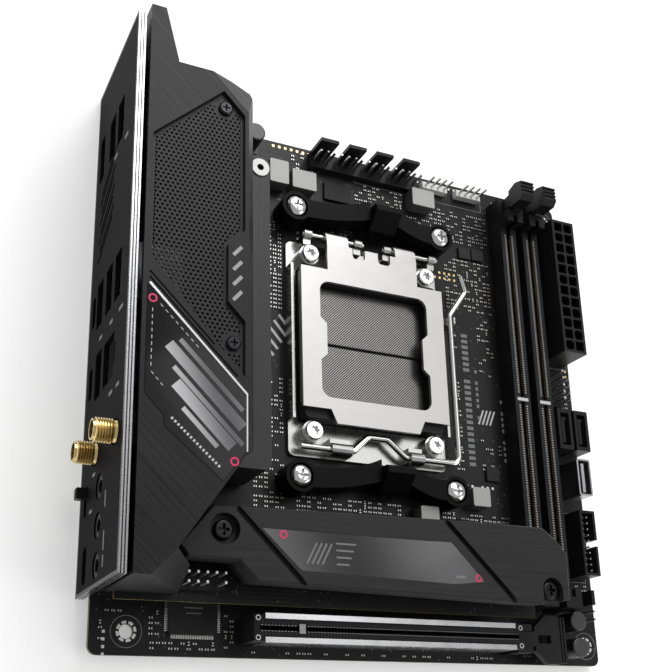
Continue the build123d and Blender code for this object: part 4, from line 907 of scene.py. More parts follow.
def inside(points: Sequence[Point], x: float, y: float) -> bool:
    """Tells whether a place lies inside a polygon.

    Args:
        points: The polygon's corners.
        x: The place along X.
        y: The place along Y.

    Returns:
        True inside.
    """
    hit = False
    for (ax, ay), (bx, by) in zip(points, list(points[1:]) + [points[0]]):
        if (ay > y) != (by > y) and x < ax + (y - ay) / (by - ay) * (bx - ax):
            hit = not hit
    return hit


def rail(outer: Sequence[Point], inner: Sequence[Point], z0: float, z1: float) -> bpy.types.Mesh:
    """A flat frame between two outlines with the same number of corners.

    Args:
        outer: Outer outline.
        inner: Inner outline.
        z0: Underside.
        z1: Top.

    Returns:
        The mesh.
    """
    build = bmesh.new()
    loops = []
    for a, b in zip(outer, inner):
        corners = ((*a, z0), (*a, z1), (*b, z1), (*b, z0))
        loops.append([build.verts.new(spot(*corner)) for corner in corners])
    bridge(build, loops)
    return to_mesh("rail", build)


def join(name: str, meshes: Iterable[bpy.types.Mesh]) -> bpy.types.Mesh:
    """Puts several meshes into one.

    Args:
        name: The new mesh's name.
        meshes: Meshes already in place, removed here.

    Returns:
        One mesh.
    """
    build = bmesh.new()
    for mesh in meshes:
        build.from_mesh(mesh)
        bpy.data.meshes.remove(mesh)
    whole = bpy.data.meshes.new(name)
    build.to_mesh(whole)
    build.free()
    return whole


def piece(name: str, meshes: Iterable[bpy.types.Mesh], finish: str) -> bpy.types.Object:
    """Makes one visible piece that stands on the board.

    Args:
        name: The piece's name.
        meshes: What it is made of.
        finish: Its finish's name.

    Returns:
        The object.
    """
    mesh = join(name, meshes)
    mesh.materials.clear()
    mesh.materials.append(FINISHES[finish])
    for polygon in mesh.polygons:
        polygon.material_index = 0
        polygon.use_smooth = False
    made = link(bpy.data.objects.new(name, mesh))
    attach(made, "board")
    LOG.info("%s: %d faces", name, len(mesh.polygons))
    return made


def dress(node: str, finish: str) -> None:
    """Gives a CAD node the material of a named finish."""
    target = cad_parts[node]
    if not target.material_slots:
        target.data.materials.append(FINISHES[finish])
    for holder in target.material_slots:
        holder.material = FINISHES[finish]
    LOG.info("%s: dressed in %s", node, finish)


def middle(node: str) -> Vector:
    """Middle of a CAD node, in millimetres from the board's corner."""
    low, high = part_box(node)
    return (Vector(low) + Vector(high) - 2 * CORNER) / (2 * MM)


def span(node: str) -> tuple[Vector, Vector]:
    """Lowest and highest corner of a CAD node, in millimetres from the board's corner."""
    low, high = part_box(node)
    return (Vector(low) - CORNER) / MM, (Vector(high) - CORNER) / MM


# ---- finishes ------------------------------------------------------------------------------

COATINGS = (
    Coating("shroud_coat", (0.0115, 0.0115, 0.0118), 2.0, 0.42, 0.20, Grain.DIAGONAL, 0.00002),
    Coating("grille_coat", (0.019, 0.019, 0.020), 1.15, 0.46, 0.22),
    Coating("heatsink_coat", (0.030, 0.030, 0.031), 1.12, 0.42, 0.3, Grain.ALONG_Y),
    Coating("cover_coat", (0.0175, 0.0175, 0.018), 1.5, 0.40, 0.25, Grain.ALONG_X),
    Coating("base_coat", (0.010, 0.010, 0.011), 1.12, 0.5, 0.25),
    Coating("rear_plate_coat", (0.007, 0.007, 0.0074), 1.2, 0.60, 0.03),
    Coating("chipset_coat", (0.05, 0.05, 0.054), 1.15, 0.4, 0.6, Grain.ALONG_X),
    Coating("backplate_coat", (0.02, 0.02, 0.021), 1.15, 0.5, 0.3),
)
MOULDINGS = (
    Moulding("black_connector", (0.011, 0.011, 0.012), 0.38),
    Moulding("socket_housing", (0.016, 0.016, 0.017), 0.5),
    Moulding("memory_slot_nylon", (0.009, 0.009, 0.010), 0.42),
    Moulding("card_slot_nylon", (0.010, 0.010, 0.011), 0.42),
    Moulding("bracket_nylon", (0.0045, 0.0045, 0.0048), 0.45, shine=0.08),
    Moulding("white_nylon", (0.72, 0.72, 0.70), 0.45, flow=0.05),
    Moulding("chip_epoxy", (0.020, 0.020, 0.021), 0.55, 0.000014),
    Moulding("fan_plastic", (0.012, 0.012, 0.013), 0.4),
    Moulding("insulating_film", (0.02, 0.02, 0.02), 0.5),
    Moulding("thermal_putty", (0.28, 0.29, 0.31), 0.8, flow=0.08),
    Moulding("resistor_film", (0.03, 0.03, 0.034), 0.5),
    Moulding("ceramic_tan", (0.13, 0.085, 0.05), 0.5),
)
METALS = (
    BareMetal("satin_steel", (0.54, 0.535, 0.525), 0.34, Grain.ALONG_X),
    BareMetal("polished_wire", (0.82, 0.82, 0.81), 0.16),
    BareMetal("socket_stamping", (0.52, 0.52, 0.51), 0.26),
    BareMetal("chrome_screw", (0.86, 0.86, 0.86), 0.14),
    BareMetal("black_zinc", (0.035, 0.035, 0.037), 0.30),
    BareMetal("port_tinplate", (0.52, 0.52, 0.53), 0.28, Grain.ALONG_Y),
    BareMetal("slot_tinplate", (0.86, 0.86, 0.87), 0.20, Grain.ALONG_X),
    BareMetal("gold_plate", (0.86, 0.66, 0.30), 0.22),
    BareMetal("contact_nickel", (0.42, 0.41, 0.40), 0.30),
    BareMetal("tin_pad", (0.74, 0.74, 0.73), 0.34),
    BareMetal("turned_brass", (0.70, 0.52, 0.26), 0.3),
)
OTHERS = (
    TwoTone("pressed_choke", (0.42, 0.42, 0.41), (0.10, 0.10, 0.10), spot(0, 0, 4.6).z),
    TwoTone("capacitor_top", (0.07, 0.07, 0.072), (0.010, 0.010, 0.011), spot(0, 0, 8.05).z, 0.6, 0.4),
    TwoTone("ring_washer", (0.75, 0.75, 0.74), (0.5, 0.5, 0.5), spot(0, 0, 20.3).z),
    SolderMask(),
    GroovedRim(),
    # These gloss finishes paint their sheen into the colour: a bright painted reflection band on the foil graphic,
    # a fainter one on the insert and the strip.
    PolishedPanel("silver_foil", (0.10, 0.10, 0.105), (0.70, 0.70, 0.71), 20.0, 0.034),
    PolishedPanel("gloss_insert"),
    PolishedPanel("gloss_strip", sheen=(0.13, 0.13, 0.134), turn=20.0, length=0.060),
    Ink("white_ink", (0.62, 0.62, 0.62)),
    Ink("grey_ink", (0.20, 0.20, 0.205)),
    Ink("silver_ink", (0.36, 0.36, 0.37), 0.28),
    Ink("pink_ink", (0.85, 0.02, 0.13), 0.5),
    Ink("label_paper", (0.80, 0.80, 0.79), 0.6),
)
FINISHES = {finish.name: finish.build() for finish in (*COATINGS, *MOULDINGS, *METALS, *OTHERS)}


# ---- sub-assemblies ------------------------------------------------------------------------


@dataclass
class Assembly:
    """A part of the board: CAD nodes with their finishes, and pieces of its own."""

    finishes: ClassVar[dict[str, Sequence[str]]] = {}

    def build(self) -> None:
        """Dresses the CAD nodes, then makes the pieces."""
        for finish, nodes in self.finishes.items():
            for node in nodes:
                dress(node, finish)
        self.details()

    def details(self) -> None:
        """Makes the pieces that stand on the CAD nodes."""


@dataclass
class BoardSurface(Assembly):
    """Circuit board: pads, small parts, printed marks and the ringed case holes."""

    finishes = {"black_solder_mask": ("main_board",)}
    terminal: Place = (0.30, 0.50, 0.34)
    gap: float = 0.72
    solder: float = 0.01
    body: Place = (0.60, 0.48, 0.32)
    pitch: Point = (1.75, 1.45)
    turned: float = 0.08
    bare_ring: Point = (2.85, 2.1)   # outer and inner radius
    printed_ring: Point = (4.4, 4.2)
    ring_parts: int = 8
    holes: tuple[Point, ...] = ((10.16, 6.35), (33.02, 163.83), (165.1, 6.35), (165.1, 163.83))
    fields: tuple[tuple[float, float, float, float, float], ...] = (
        # low x, low y, high x, high y, share left out
        (60.0, 139.0, 84.0, 149.0, 0.35), (84.0, 147.0, 104.0, 162.0, 0.45), (104.0, 146.0, 118.0, 154.0, 0.4),
        (114.0, 146.0, 139.0, 160.0, 0.45), (118.6, 120.0, 139.0, 141.0, 0.45), (119.0, 60.0, 122.6, 119.0, 0.6),
        (128.6, 61.0, 138.6, 76.0, 0.65), (130.0, 96.0, 138.6, 119.0, 0.7), (112.0, 38.6, 139.0, 48.6, 0.35),
        (60.0, 38.6, 98.0, 49.0, 0.35), (45.8, 38.6, 58.0, 60.0, 0.35), (46.4, 62.0, 57.4, 88.0, 0.35),
        (46.4, 108.0, 57.4, 141.0, 0.3), (36.8, 1.6, 42.0, 12.6, 0.2), (16.0, 1.2, 36.0, 4.4, 0.2),
        (15.2, 5.0, 20.2, 12.6, 0.25), (3.0, 11.0, 15.0, 12.6, 0.3), (2.0, 2.0, 4.0, 11.0, 0.4),
        (139.0, 1.4, 152.0, 12.6, 0.4), (157.4, 16.6, 168.4, 27.0, 0.35), (157.4, 88.4, 168.4, 100.0, 0.3),
        (44.0, 1.0, 130.0, 2.2, 0.5), (47.0, 146.0, 51.0, 160.0, 0.3), (141.0, 161.0, 154.0, 168.0, 0.45),
        (60.0, 159.6, 70.0, 168.6, 0.4),
    )
    legends: tuple[tuple[float, float, float, bool], ...] = (
        # x, y, length of the row, whether it runs along y
        (125.8, 88.0, 50.0, True), (139.4, 78.0, 24.0, True), (129.6, 90.0, 20.0, True),
        (60.6, 148.6, 12.0, False), (97.0, 135.2, 30.0, False),
    )
    legend_pitch: float = 2.1
    legend_drop: float = 0.18
    legend_dash: Place = (1.4, 0.7, FILM)
    legend_slope: float = 20.0   # length of an upright row to the width of its dashes
    upright_dash: float = 1.2
    boxes: tuple[tuple[float, float, float, float], ...] = (
        # middle x, middle y, length along x, length along y
        (163.45, 131.7, 11.8, 54.4), (164.0, 39.3, 8.4, 23.6), (111.0, 165.4, 52.0, 7.2),
    )
    box_line: float = 0.22
    label: tuple[float, float, float, float] = (162.9, 157.3, 7.2, 2.6)
    label_top: float = 0.06
    label_edge: float = 0.02
    pads: tuple[tuple[float, float, int, int, float, float], ...] = (
        # x, y, columns, rows, pitch along x, pitch along y; tinned and gold by turns
        (126.0, 57.2, 8, 1, 2.0, 0.0), (119.4, 132.8, 5, 2, 2.0, 2.0), (63.0, 137.6, 1, 3, 0.0, 2.2),
        (140.4, 28.0, 1, 9, 0.0, 2.1), (116.0, 168.4, 16, 1, 2.2, 0.0), (60.0, 168.6, 8, 1, 2.2, 0.0),
        (155.0, 168.0, 6, 1, 2.0, 0.0), (168.6, 107.0, 1, 6, 0.0, 2.0), (4.0, 3.2, 1, 4, 0.0, 2.0),
    )
    pad: Place = (0.8, 0.8, FILM)
    pad_drop: float = 0.1
    first_pad_seed: int = 40

    def small_parts(self) -> None:
        """Chip resistors and capacitors, each a body between two tinned ends."""
        ends, films, tans = [], [], []
        middle_z = self.terminal[2] / 2 + self.solder
        for seed, (x0, y0, x1, y1, drop) in enumerate(self.fields):
            place = ((x0 + x1) / 2, (y0 + y1) / 2, middle_z)
            shared = {
                "columns": max(1, int((x1 - x0) / self.pitch[0])),
                "rows": max(1, int((y1 - y0) / self.pitch[1])),
                "pitch": self.pitch, "drop": drop, "turned": self.turned, "seed": seed,
            }
            ends.append(Grid(place, block=self.terminal, copies=2, spread=self.gap, **shared).mesh("tin_pad"))
            target = tans if seed % 3 == 1 else films
            target.append(Grid(place, block=self.body, **shared).mesh("resistor_film"))
        piece("chip_part_ends", ends, "tin_pad")
        piece("chip_resistors", films, "resistor_film")
        piece("chip_capacitors", tans, "ceramic_tan")

    def case_holes(self) -> None:
        """Tinned pads round each case hole, inside a thin printed circle."""
        pads = [ring(x, y, *self.bare_ring, 0.0, FILM, self.ring_parts) for x, y in self.holes]
        circles = [ring(x, y, *self.printed_ring, 0.0, FILM) for x, y in self.holes]
        piece("case_hole_pads", pads, "tin_pad")
        piece("case_hole_circles", circles, "grey_ink")

    def print_marks(self) -> None:
        """Plain printed dashes, boxes and bars where a board carries its legends."""
        marks = []
        for seed, (x, y, run, upright) in enumerate(self.legends):
            count, pitch = int(run / self.legend_pitch), self.legend_pitch
            if upright:
                shape = (1, count, (1.0, pitch), (run / self.legend_slope, self.upright_dash, FILM))
            else:
                shape = (count, 1, (pitch, 1.0), self.legend_dash)
            marks.append(Grid((x, y, FILM / 2), *shape, drop=self.legend_drop, seed=seed).mesh("grey_ink"))
        for box in self.boxes:
            corners = rectangle(*box)
            marks += [line(a, b, self.box_line) for a, b in zip(corners, corners[1:] + corners[:1])]
        bars = [line((47.4 + i * 1.7, 96.0 + i * 2.2), (52.6 + i * 1.4, 90.4 + i * 2.4), 0.9) for i in range(6)]
        bars += [line((129.4 + i * 1.5, 79.4), (131.6 + i * 1.5, 84.6), 0.6) for i in range(4)]
        piece("printed_marks", marks, "grey_ink")
        piece("printed_bars", bars, "white_ink")
        label = slab(rectangle(*self.label), 0, self.label_top, self.label_edge)
        piece("blank_label", [label], "label_paper")

    def bare_pads(self) -> None:
        """Rows of bare gold and tinned test pads."""
        gold, tin = [], []
        for i, (x, y, columns, rows, dx, dy) in enumerate(self.pads):
            seed = self.first_pad_seed + i
            grid = Grid((x, y, FILM / 2), columns, rows, (dx, dy), self.pad, drop=self.pad_drop, seed=seed)
            (gold if i % 2 else tin).append(grid.mesh("gold_plate"))
        piece("gold_test_pads", gold, "gold_plate")
        piece("tinned_test_pads", tin, "tin_pad")

    def details(self) -> None:
        """Makes everything on the bare board."""
        self.small_parts()
        self.case_holes()
        self.print_marks()
        self.bare_pads()


@dataclass
class FlatPackChip(Assembly):
    """Gull-wing legs round the square chip at the rear lower corner."""

    x: float = 28.7
    y: float = 12.9
    half: float = 7.0
    top: float = 1.3
    count: int = 25
    pitch: float = 0.5
    leg: Place = (0.24, 1.1, 0.2)
    leg_z: float = 0.25
    print_top: float = 1.32
    mark: Place = (5.4, 0.55, 0.35)   # way from the middle, outer and inner radius
    lines: int = 3
    line_pitch: float = 1.5

    def details(self) -> None:
        """Makes the legs on all four sides, the corner mark and three plain lines."""
        gap = 2 * self.half + self.leg[1]
        width, length, height = self.leg
        place = (self.x, self.y, self.leg_z)
        level = Grid(place, self.count, 2, (self.pitch, gap), (width, length, height))
        upright = Grid(place, 2, self.count, (gap, self.pitch), (length, width, height))
        piece("flat_pack_legs", [level.mesh("tin_pad"), upright.mesh("tin_pad")], "tin_pad")
        away, outer, inner = self.mark
        marks = [ring(self.x - away, self.y + away, outer, inner, self.top, self.print_top)]
        for i in range(self.lines):
            outline = rectangle(self.x, self.y + 1.8 - i * self.line_pitch, 6.4 - i, 0.3)
            marks.append(slab(outline, self.top, self.print_top))
        piece("flat_pack_mark", marks, "grey_ink")


@dataclass
class RearPanel(Assembly):
    """Rear plate with its rim, ports and plain printed marks."""

    finishes = {
        "rear_plate_coat": ("io_plate",),
        "tinplate_with_painted_groove_shade": ("io_rim",),
        "port_tinplate": ("display_usb_stack", "usb_stack", "lan_usb_stack", "rear_usb_c"),
        "gold_plate": ("antenna_jacks",),
        "black_connector": ("antenna_base", "audio_jacks", "switch_base", "switch_slider"),
    }
    mark_x: float = -3.1
    mark_depth: float = 0.04
    marks: tuple[tuple[float, float, float, float], ...] = (
        # y, z, length along y, height
        (137.2, 31.8, 1.0, 3.4), (137.2, 20.4, 1.0, 3.4), (84.8, 33.4, 1.0, 4.0), (84.8, 23.4, 1.0, 3.2),
        (84.8, 11.8, 1.0, 3.2), (63.8, 33.0, 1.0, 3.2), (63.8, 26.0, 1.0, 3.6), (45.6, 11.5, 0.9, 3.0),
        (36.0, 25.4, 4.2, 0.9), (25.4, 25.4, 5.0, 0.9), (20.3, 25.4, 3.0, 0.9), (36.0, 9.6, 0.9, 3.0),
    )

    def details(self) -> None:
        """Prints the marks on the plate's outer face."""
        marks = []
        for y, z, width, height in self.marks:
            build = bmesh.new()
            bmesh.ops.create_cube(build, size=MM)
            size = Matrix.Diagonal((self.mark_depth, width, height, 1.0))
            place = Matrix.Translation(spot(self.mark_x, y, z))
            bmesh.ops.transform(build, matrix=place @ size, verts=build.verts)
            marks.append(to_mesh("mark", build))
        piece("rear_plate_marks", marks, "grey_ink")


@dataclass
class Shroud(Assembly):
    """Rear shroud with its perforated grille, gloss insert and plain graphic."""

    finishes = {
        "shroud_coat": ("io_shroud",),
        "grille_coat": ("vrm_grille",),
        "gloss_insert": ("shroud_gloss_panel",),
        "black_zinc": ("grille_screws",),
        # the bright strip along the gloss insert's edge stands in for its polished chamfer and the highlight on it:
        # partly real polish, partly painted highlight
        "port_tinplate": ("panel_trim",),
        "fan_plastic": ("fan_frame", "fan_rotor"),
    }
    panel_z: float = 41.15
    rings: tuple[Point, ...] = ((3.1, 85.2), (25.4, 44.3))
    ring_size: Point = (1.2, 0.75)   # outer and inner radius
    bars: tuple[tuple[Point, Point, float], ...] = (
        ((10.6, 75.0), (27.6, 58.0), 1.3),
        ((7.6, 73.4), (27.6, 53.4), 3.0),
        ((9.0, 67.4), (27.6, 48.8), 1.3),
        ((9.6, 63.2), (24.8, 48.0), 3.2),
        ((11.6, 56.8), (20.8, 47.6), 1.3),
    )
    dashed: tuple[tuple[Point, Point, int, float], ...] = (
        # first end, other end, dashes, width
        ((5.0, 84.0), (16.0, 73.0), 8, 0.2),
        ((3.1, 82.6), (3.1, 66.0), 9, 0.2),
        ((3.1, 65.4), (6.8, 61.4), 3, 0.2),
        ((8.6, 54.0), (21.8, 42.2), 16, 0.7),
    )
    dash: Point = (0.1, 0.62)   # where a dash starts and ends in its share of the line
    outline: tuple[Point, ...] = (
        (22.0, 152.6), (28.3, 146.0), (28.3, 109.8), (23.5, 104.8), (23.5, 88.0),
        (28.3, 83.0), (28.3, 67.4), (20.6, 75.2), (1.9, 97.6), (1.9, 133.8),
    )
    screws: tuple[Point, ...] = ((22.7, 147.4), (25.3, 76.6))
    boss: Point = (3.1, 1.08)
    clearance: float = 2.5
    pitch: float = 1.36
    hole: float = 0.42
    sheet: float = 0.7
    border: float = 1.0
    overlap: float = 0.7   # how far the cells run under the border, as a share of it
    border_rise: float = 0.02
    boss_rise: float = 0.01
    side_bars: int = 4
    side_pitch: float = 4.4
    side_width: float = 1.0

    def dashes(self, start: Point, end: Point, count: int, width: float) -> list[bpy.types.Mesh]:
        """A dashed line on the insert.

        Args:
            start: First end.
            end: Other end.
            count: Dashes.
            width: Line width.

        Returns:
            One mesh for each dash.
        """
        made = []
        for i in range(count):
            shares = [(i + share) / count for share in self.dash]
            a, b = ((start[0] + (end[0] - start[0]) * t, start[1] + (end[1] - start[1]) * t) for t in shares)
            made.append(line(a, b, width, self.panel_z))
        return made

    def cell(self) -> bpy.types.Mesh:
        """One hexagonal cell with a hole through it, standing at the origin."""
        build = bmesh.new()
        outer = self.pitch / math.sqrt(3.0)
        loops = []
        for k in range(6):
            angle = math.radians(60.0 * k + 30.0)
            c, s = math.cos(angle) * MM, math.sin(angle) * MM
            corners = ((outer, 0.0), (outer, self.sheet), (self.hole, self.sheet), (self.hole, 0.0))
            loops.append([build.verts.new((c * r, s * r, z * MM)) for r, z in corners])
        bridge(build, loops)
        return to_mesh("cell", build)

    def grille(self) -> None:
        """Perforated sheet: hexagonal cells round open holes, a plain border and two bosses."""
        top = span("vrm_grille")[1].z
        low = top - self.sheet
        inner = inset(self.outline, self.border)
        field = inset(self.outline, self.border * self.overlap)
        row = self.pitch * math.sqrt(3.0) / 2.0
        places = []
        (x0, x1), (y0, y1) = ((min(values), max(values)) for values in zip(*self.outline))
        for j in range(int((y1 - y0) / row) + 1):
            for i in range(int((x1 - x0) / self.pitch) + 1):
                x, y = x0 + (i + 0.5 * (j % 2)) * self.pitch, y0 + j * row
                clear = all(math.hypot(x - sx, y - sy) > self.clearance for sx, sy in self.screws)
                if clear and inside(field, x, y):
                    places.append(spot(x, y, low))
        made = [SCATTER.spread(places, self.cell(), FINISHES["grille_coat"])]
        made.append(rail(self.outline, inner, low, top + self.border_rise))
        made += [ring(x, y, *self.boss, low, top + self.boss_rise) for x, y in self.screws]
        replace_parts(piece("perforated_grille", made, "grille_coat"), "vrm_grille")

    def details(self) -> None:
        """Makes the insert's graphic, lines and rings, the grille and the side mark."""
        z = self.panel_z
        graphic = [line(*bar, z) for bar in self.bars]
        piece("insert_graphic", graphic, "silver_foil")
        piece("insert_lines", [mesh for dashed in self.dashed for mesh in self.dashes(*dashed)], "white_ink")
        self.grille()
        rings = [ring(x, y, *self.ring_size, z, z + FILM) for x, y in self.rings]
        piece("insert_rings", rings, "pink_ink")
        top = span("io_shroud")[1].z
        bars = []
        for i in range(self.side_bars):
            step = i * self.side_pitch
            bars.append(line((24.9, 88.6 + step), (27.3, 91.4 + step), self.side_width, top))
        piece("shroud_side_mark", bars, "silver_ink")


@dataclass
class PowerStage(Assembly):
    """Heatsink over the power stages, with chokes and capacitors."""

    finishes = {
        "heatsink_coat": ("vrm_heatsink",),
        "chip_epoxy": ("power_stages", "controller_chips", "chipset"),
        "thermal_putty": ("thermal_pad",),
        "pressed_choke": ("chokes",),
        "capacitor_top": ("capacitors",),
        "ring_washer": ("heatsink_washer",),
    }


@dataclass
class Socket(Assembly):
    """Processor socket: steel frame, load plate, lever, wires and the field of contacts."""

    finishes = {
        "socket_housing": ("socket_body", "contact_field"),
        "socket_stamping": ("socket_frame",),
        "satin_steel": ("load_plate",),
        "polished_wire": ("hinge_wires", "load_lever"),
        "chrome_screw": ("socket_screws",),
    }
    columns: int = 44
    rows: int = 22
    pitch: float = 0.86
    pin: Place = (1.22, 0.22, 0.3)
    lean: float = 45.0
    bank_gap: float = 0.17   # half the extra gap between the banks
    rise: float = 0.12

    def details(self) -> None:
        """Two banks of sprung contacts, all leaning the same way."""
        low, high = span("contact_field")
        half = (high.y - low.y) / 4 + self.bank_gap
        centre = middle("contact_field")
        banks = []
        for side in (-1, 1):
            place = (centre.x, centre.y + side * half, high.z + self.rise)
            lean = (0.0, 0.0, math.radians(self.lean))
            grid = Grid(place, self.columns, self.rows, (self.pitch, self.pitch), self.pin, lean=lean)
            banks.append(grid.mesh("contact_nickel"))
        piece("socket_contacts", banks, "contact_nickel")


@dataclass
class CoolerMount(Assembly):
    """Cooler brackets, their screws and the plate under the board."""

    finishes = {
        "bracket_nylon": ("cooler_bracket_bottom", "cooler_bracket_top"),
        "chrome_screw": ("bracket_screws",),
        "backplate_coat": ("backplate",),
        "insulating_film": ("backplate_insulator",),
    }


@dataclass
class MemorySlots(Assembly):
    """Two memory slots with their contacts, key marks and latches."""

    slots: ClassVar[tuple[str, ...]] = ("dimm_slot_a", "dimm_slot_b")
    finishes = {"memory_slot_nylon": (*slots, "dimm_latch_a", "dimm_latch_b")}
    top: float = 7.6
    contact: Place = (0.22, 0.5, 1.5)
    tooth: Place = (0.62, 0.36, 0.06)
    tooth_x: float = 1.45
    pitch: float = 0.85
    groove: float = 1.5
    key_y: float = 87.6
    key_gap: float = 1.6
    key: Point = (4.4, 1.1)
    ends: Point = (8.0, 14.0)   # bare lengths at the low and the high end
    sunk: float = 0.3
    bite: float = 0.04   # how far a contact goes into the groove's wall
    tooth_rise: float = 0.01

    def details(self) -> None:
        """Makes the contacts, the teeth over them and the key marks."""
        contacts, keys, teeth = [], [], []
        depth = self.top - self.contact[2] / 2 - self.sunk
        pair = (self.groove - self.contact[0] + self.bite, self.pitch)
        both = (2 * self.tooth_x, self.pitch)
        for node in self.slots:
            low, high = span(node)
            x = (low.x + high.x) / 2
            before, after = self.key_y - self.key_gap, self.key_y + self.key_gap
            for first, last in ((low.y + self.ends[0], before), (after, high.y - self.ends[1])):
                rows, y = int((last - first) / self.pitch), (first + last) / 2
                place = (x, y, self.top + self.tooth_rise)
                contacts.append(Grid((x, y, depth), 2, rows, pair, self.contact).mesh("gold_plate"))
                teeth.append(Grid(place, 2, rows, both, self.tooth).mesh("contact_nickel"))
            keys.append(slab(rectangle(x, self.key_y, *self.key), self.top, self.top + FILM))
        piece("memory_contacts", contacts, "gold_plate")
        piece("memory_slot_teeth", teeth, "contact_nickel")
        piece("memory_key_marks", keys, "white_ink")


@dataclass
class CardSlot(Assembly):
    """Expansion slot with its bright shield, contacts, end rivets and latch."""

    finishes = {"card_slot_nylon": ("expansion_slot", "slot_latch"), "slot_tinplate": ("slot_shield",)}
    y: float = 7.3
    top: float = 11.2
    first: float = 44.6
    last: float = 130.8
    key_x: float = 57.2
    key_gap: float = 1.4
    contact: Place = (0.5, 0.24, 1.6)
    pitch: float = 1.0
    groove: float = 1.8
    tooth: Place = (0.5, 0.9, 0.08)
    tooth_y: float = 1.55
    tooth_rise: float = 0.03
    sunk: float = 0.25
    bite: float = 0.04
    key: Point = (1.9, 2.6)
    key_rise: float = 0.08
    key_edge: float = 0.03
    rivet: Place = (0.75, 0.5, 0.06)   # outer and inner radius, height
    rivets: tuple[Point, ...] = ((43.9, 10.0), (43.9, 4.6), (131.2, 10.0), (131.2, 4.6))

    def details(self) -> None:
        """Makes the contacts, teeth, key mark and rivets."""
        contacts, teeth = [], []
        depth = self.top - self.contact[2] / 2 - self.sunk
        pair = (self.pitch, self.groove - self.contact[1] + self.bite)
        both = (self.pitch, 2 * self.tooth_y)
        for first, last in ((self.first, self.key_x - self.key_gap), (self.key_x + self.key_gap, self.last)):
            columns, x = int((last - first) / self.pitch), (first + last) / 2
            place = (x, self.y, self.top + self.tooth_rise)
            contacts.append(Grid((x, self.y, depth), columns, 2, pair, self.contact).mesh("contact_nickel"))
            teeth.append(Grid(place, columns, 2, both, self.tooth).mesh("resistor_film"))
        piece("card_slot_contacts", contacts, "contact_nickel")
        piece("card_slot_teeth", teeth, "resistor_film")
        outline = rectangle(self.key_x, self.y, *self.key)
        mark = slab(outline, self.top, self.top + self.key_rise, self.key_edge)
        piece("card_slot_key_mark", [mark], "white_ink")
        outer, inner, height = self.rivet
        rings = [ring(x, y, outer, inner, self.top, self.top + height) for x, y in self.rivets]
        piece("card_slot_rivets", rings, "tin_pad")


@dataclass
class StorageCover(Assembly):
    """Raised board, storage base and faceted cover with its gloss strip."""

    finishes = {
        "black_solder_mask": ("riser_board",),
        "base_coat": ("m2_base",),
        "cover_coat": ("m2_cover",),
        "gloss_strip": ("cover_gloss_strip",),
        "black_zinc": ("cover_screws",),
        "turned_brass": ("standoffs",),
        "black_connector": ("board_sockets",),
        "chipset_coat": ("chipset_heatsink",),
    }
    rings: tuple[Point, ...] = ((44.8, 30.0), (106.2, 21.6))
    ring_size: Point = (1.15, 0.7)   # outer and inner radius
    hatch: int = 4
    thin: float = 0.5
    thick: float = 0.7
    edge_pad: Place = (1.2, 0.06, 0.9)
    edge_pads: int = 12
    edge_pitch: float = 2.2
    edge_drop: float = 0.3
    edge_seed: int = 70

    def details(self) -> None:
        """Marks the strip and adds the raised board's edge pads."""
        z = span("cover_gloss_strip")[1].z
        rings = [ring(x, y, *self.ring_size, z, z + FILM) for x, y in self.rings]
        piece("strip_rings", rings, "pink_ink")
        steps = range(self.hatch)
        bars = [line((51.6 + i * 1.5, 22.6), (54.6 + i * 1.5, 28.4), self.thin, z) for i in steps]
        bars += [line((60.4, 28.6 - i * 1.9), (66.4 - i * 0.7, 28.6 - i * 1.9), self.thin, z) for i in steps]
        bars.append(line((98.4, 21.6), (101.6, 21.6), self.thick, z))
        piece("strip_marks", bars, "grey_ink")
        place = (20.6, span("riser_board")[0].y - 0.02, 12.3)
        pitch = (self.edge_pitch, 0.0)
        pads = Grid(place, self.edge_pads, 1, pitch, self.edge_pad, drop=self.edge_drop, seed=self.edge_seed)
        piece("riser_edge_pads", [pads.mesh("gold_plate")], "gold_plate")


@dataclass
class Connectors(Assembly):
    """Power, storage and front-panel connectors and the small headers."""

    finishes = {
        "black_connector": ("atx_power_socket", "cpu_power_socket", "sata_ports", "header_bases"),
        "port_tinplate": ("front_usb_c",),
        "white_nylon": ("led_headers",),
        "tin_pad": ("contact_pins",),
    }


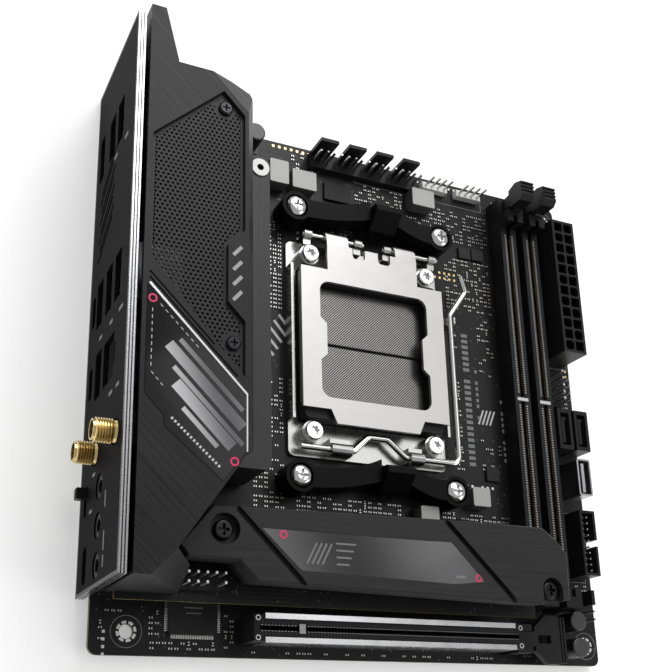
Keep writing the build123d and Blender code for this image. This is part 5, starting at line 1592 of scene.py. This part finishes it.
@dataclass
class Studio:
    """Camera, floor and soft lights."""

    eye: Place = (-0.14782, -0.03097, 0.26638)
    look: Place = (0.40107101, 0.30122792, -0.86510334)
    up: Place = (-0.11116493, 0.95341272, 0.28043991)
    sensor: float = 36.0
    lens: float = 53.25
    shift: Point = (0.0537, 0.1480)
    clip: Point = (0.01, 50.0)
    floor_size: float = 6.0
    floor_drop: float = 0.0002
    glow: float = 0.35
    surround: float = 0.40
    lights: tuple[tuple[str, Place, float, float], ...] = (
        # name, place, size in metres, power in watts
        ("key", (0.10, 0.95, 0.80), 0.7, 9.0),
        ("sheen", (0.62, 0.50, 1.20), 0.55, 1.5),
        ("fill", (0.95, -0.35, 0.60), 0.6, 2.5),
    )

    def camera(self) -> None:
        """Places the camera."""
        data = bpy.data.cameras.new("camera")
        data.sensor_width = self.sensor
        data.lens = self.lens
        data.shift_x, data.shift_y = self.shift
        data.clip_start, data.clip_end = self.clip
        holder = link(bpy.data.objects.new("camera", data))
        look, up = Vector(self.look).normalized(), Vector(self.up).normalized()
        axes = Matrix((look.cross(up), up, -look)).transposed().to_4x4()
        holder.matrix_world = Matrix.Translation(self.eye) @ axes
        bpy.context.scene.camera = holder

    def floor(self) -> None:
        """Lays the pale floor under the lowest point."""
        build = bmesh.new()
        bmesh.ops.create_grid(build, x_segments=1, y_segments=1, size=self.floor_size / 2)
        bmesh.ops.translate(build, vec=(0.0, 0.0, CAD_BOX[0][2] - self.floor_drop), verts=build.verts)
        made = link(bpy.data.objects.new("floor", to_mesh("floor", build)))
        finish = Finish("pale_floor")
        tone = finish.noise(3.0, 2.0)
        made.data.materials.append(
            finish.shade(
                Base_Color=finish.mix(tone, (0.88, 0.88, 0.88), (0.92, 0.92, 0.92)),
                Roughness=0.9,
                Emission_Color=(1.0, 1.0, 1.0),
                Emission_Strength=self.glow,
            )
        )

    def lamps(self) -> None:
        """Hangs the soft lights and sets a pale surround."""
        target = (Vector(CAD_BOX[0]) + Vector(CAD_BOX[1])) / 2
        for name, place, size, power in self.lights:
            data = bpy.data.lights.new(name, "AREA")
            data.energy = power
            data.size = size
            holder = link(bpy.data.objects.new(name, data))
            aim = (target - Vector(place)).to_track_quat("-Z", "Y").to_matrix().to_4x4()
            holder.matrix_world = Matrix.Translation(place) @ aim
        world = bpy.data.worlds.new("surround")
        bpy.context.scene.world = world
        bpy.context.scene.view_settings.view_transform = "Standard"
        world.use_nodes = True
        backdrop = world.node_tree.nodes["Background"]
        backdrop.inputs["Color"].default_value = (1.0, 1.0, 1.0, 1.0)
        backdrop.inputs["Strength"].default_value = self.surround

    def build(self) -> None:
        """Sets the whole studio up."""
        self.camera()
        self.floor()
        self.lamps()


def main() -> None:
    """Builds every sub-assembly in order."""
    logging.basicConfig(level=logging.INFO, format="%(name)s %(message)s")
    Studio().build()
    for assembly in (
        BoardSurface(), FlatPackChip(), RearPanel(), Shroud(), PowerStage(), Socket(),
        CoolerMount(), MemorySlots(), CardSlot(), StorageCover(), Connectors(),
    ):
        LOG.info("building %s", type(assembly).__name__)
        assembly.build()


if __name__ == "__main__":
    main()
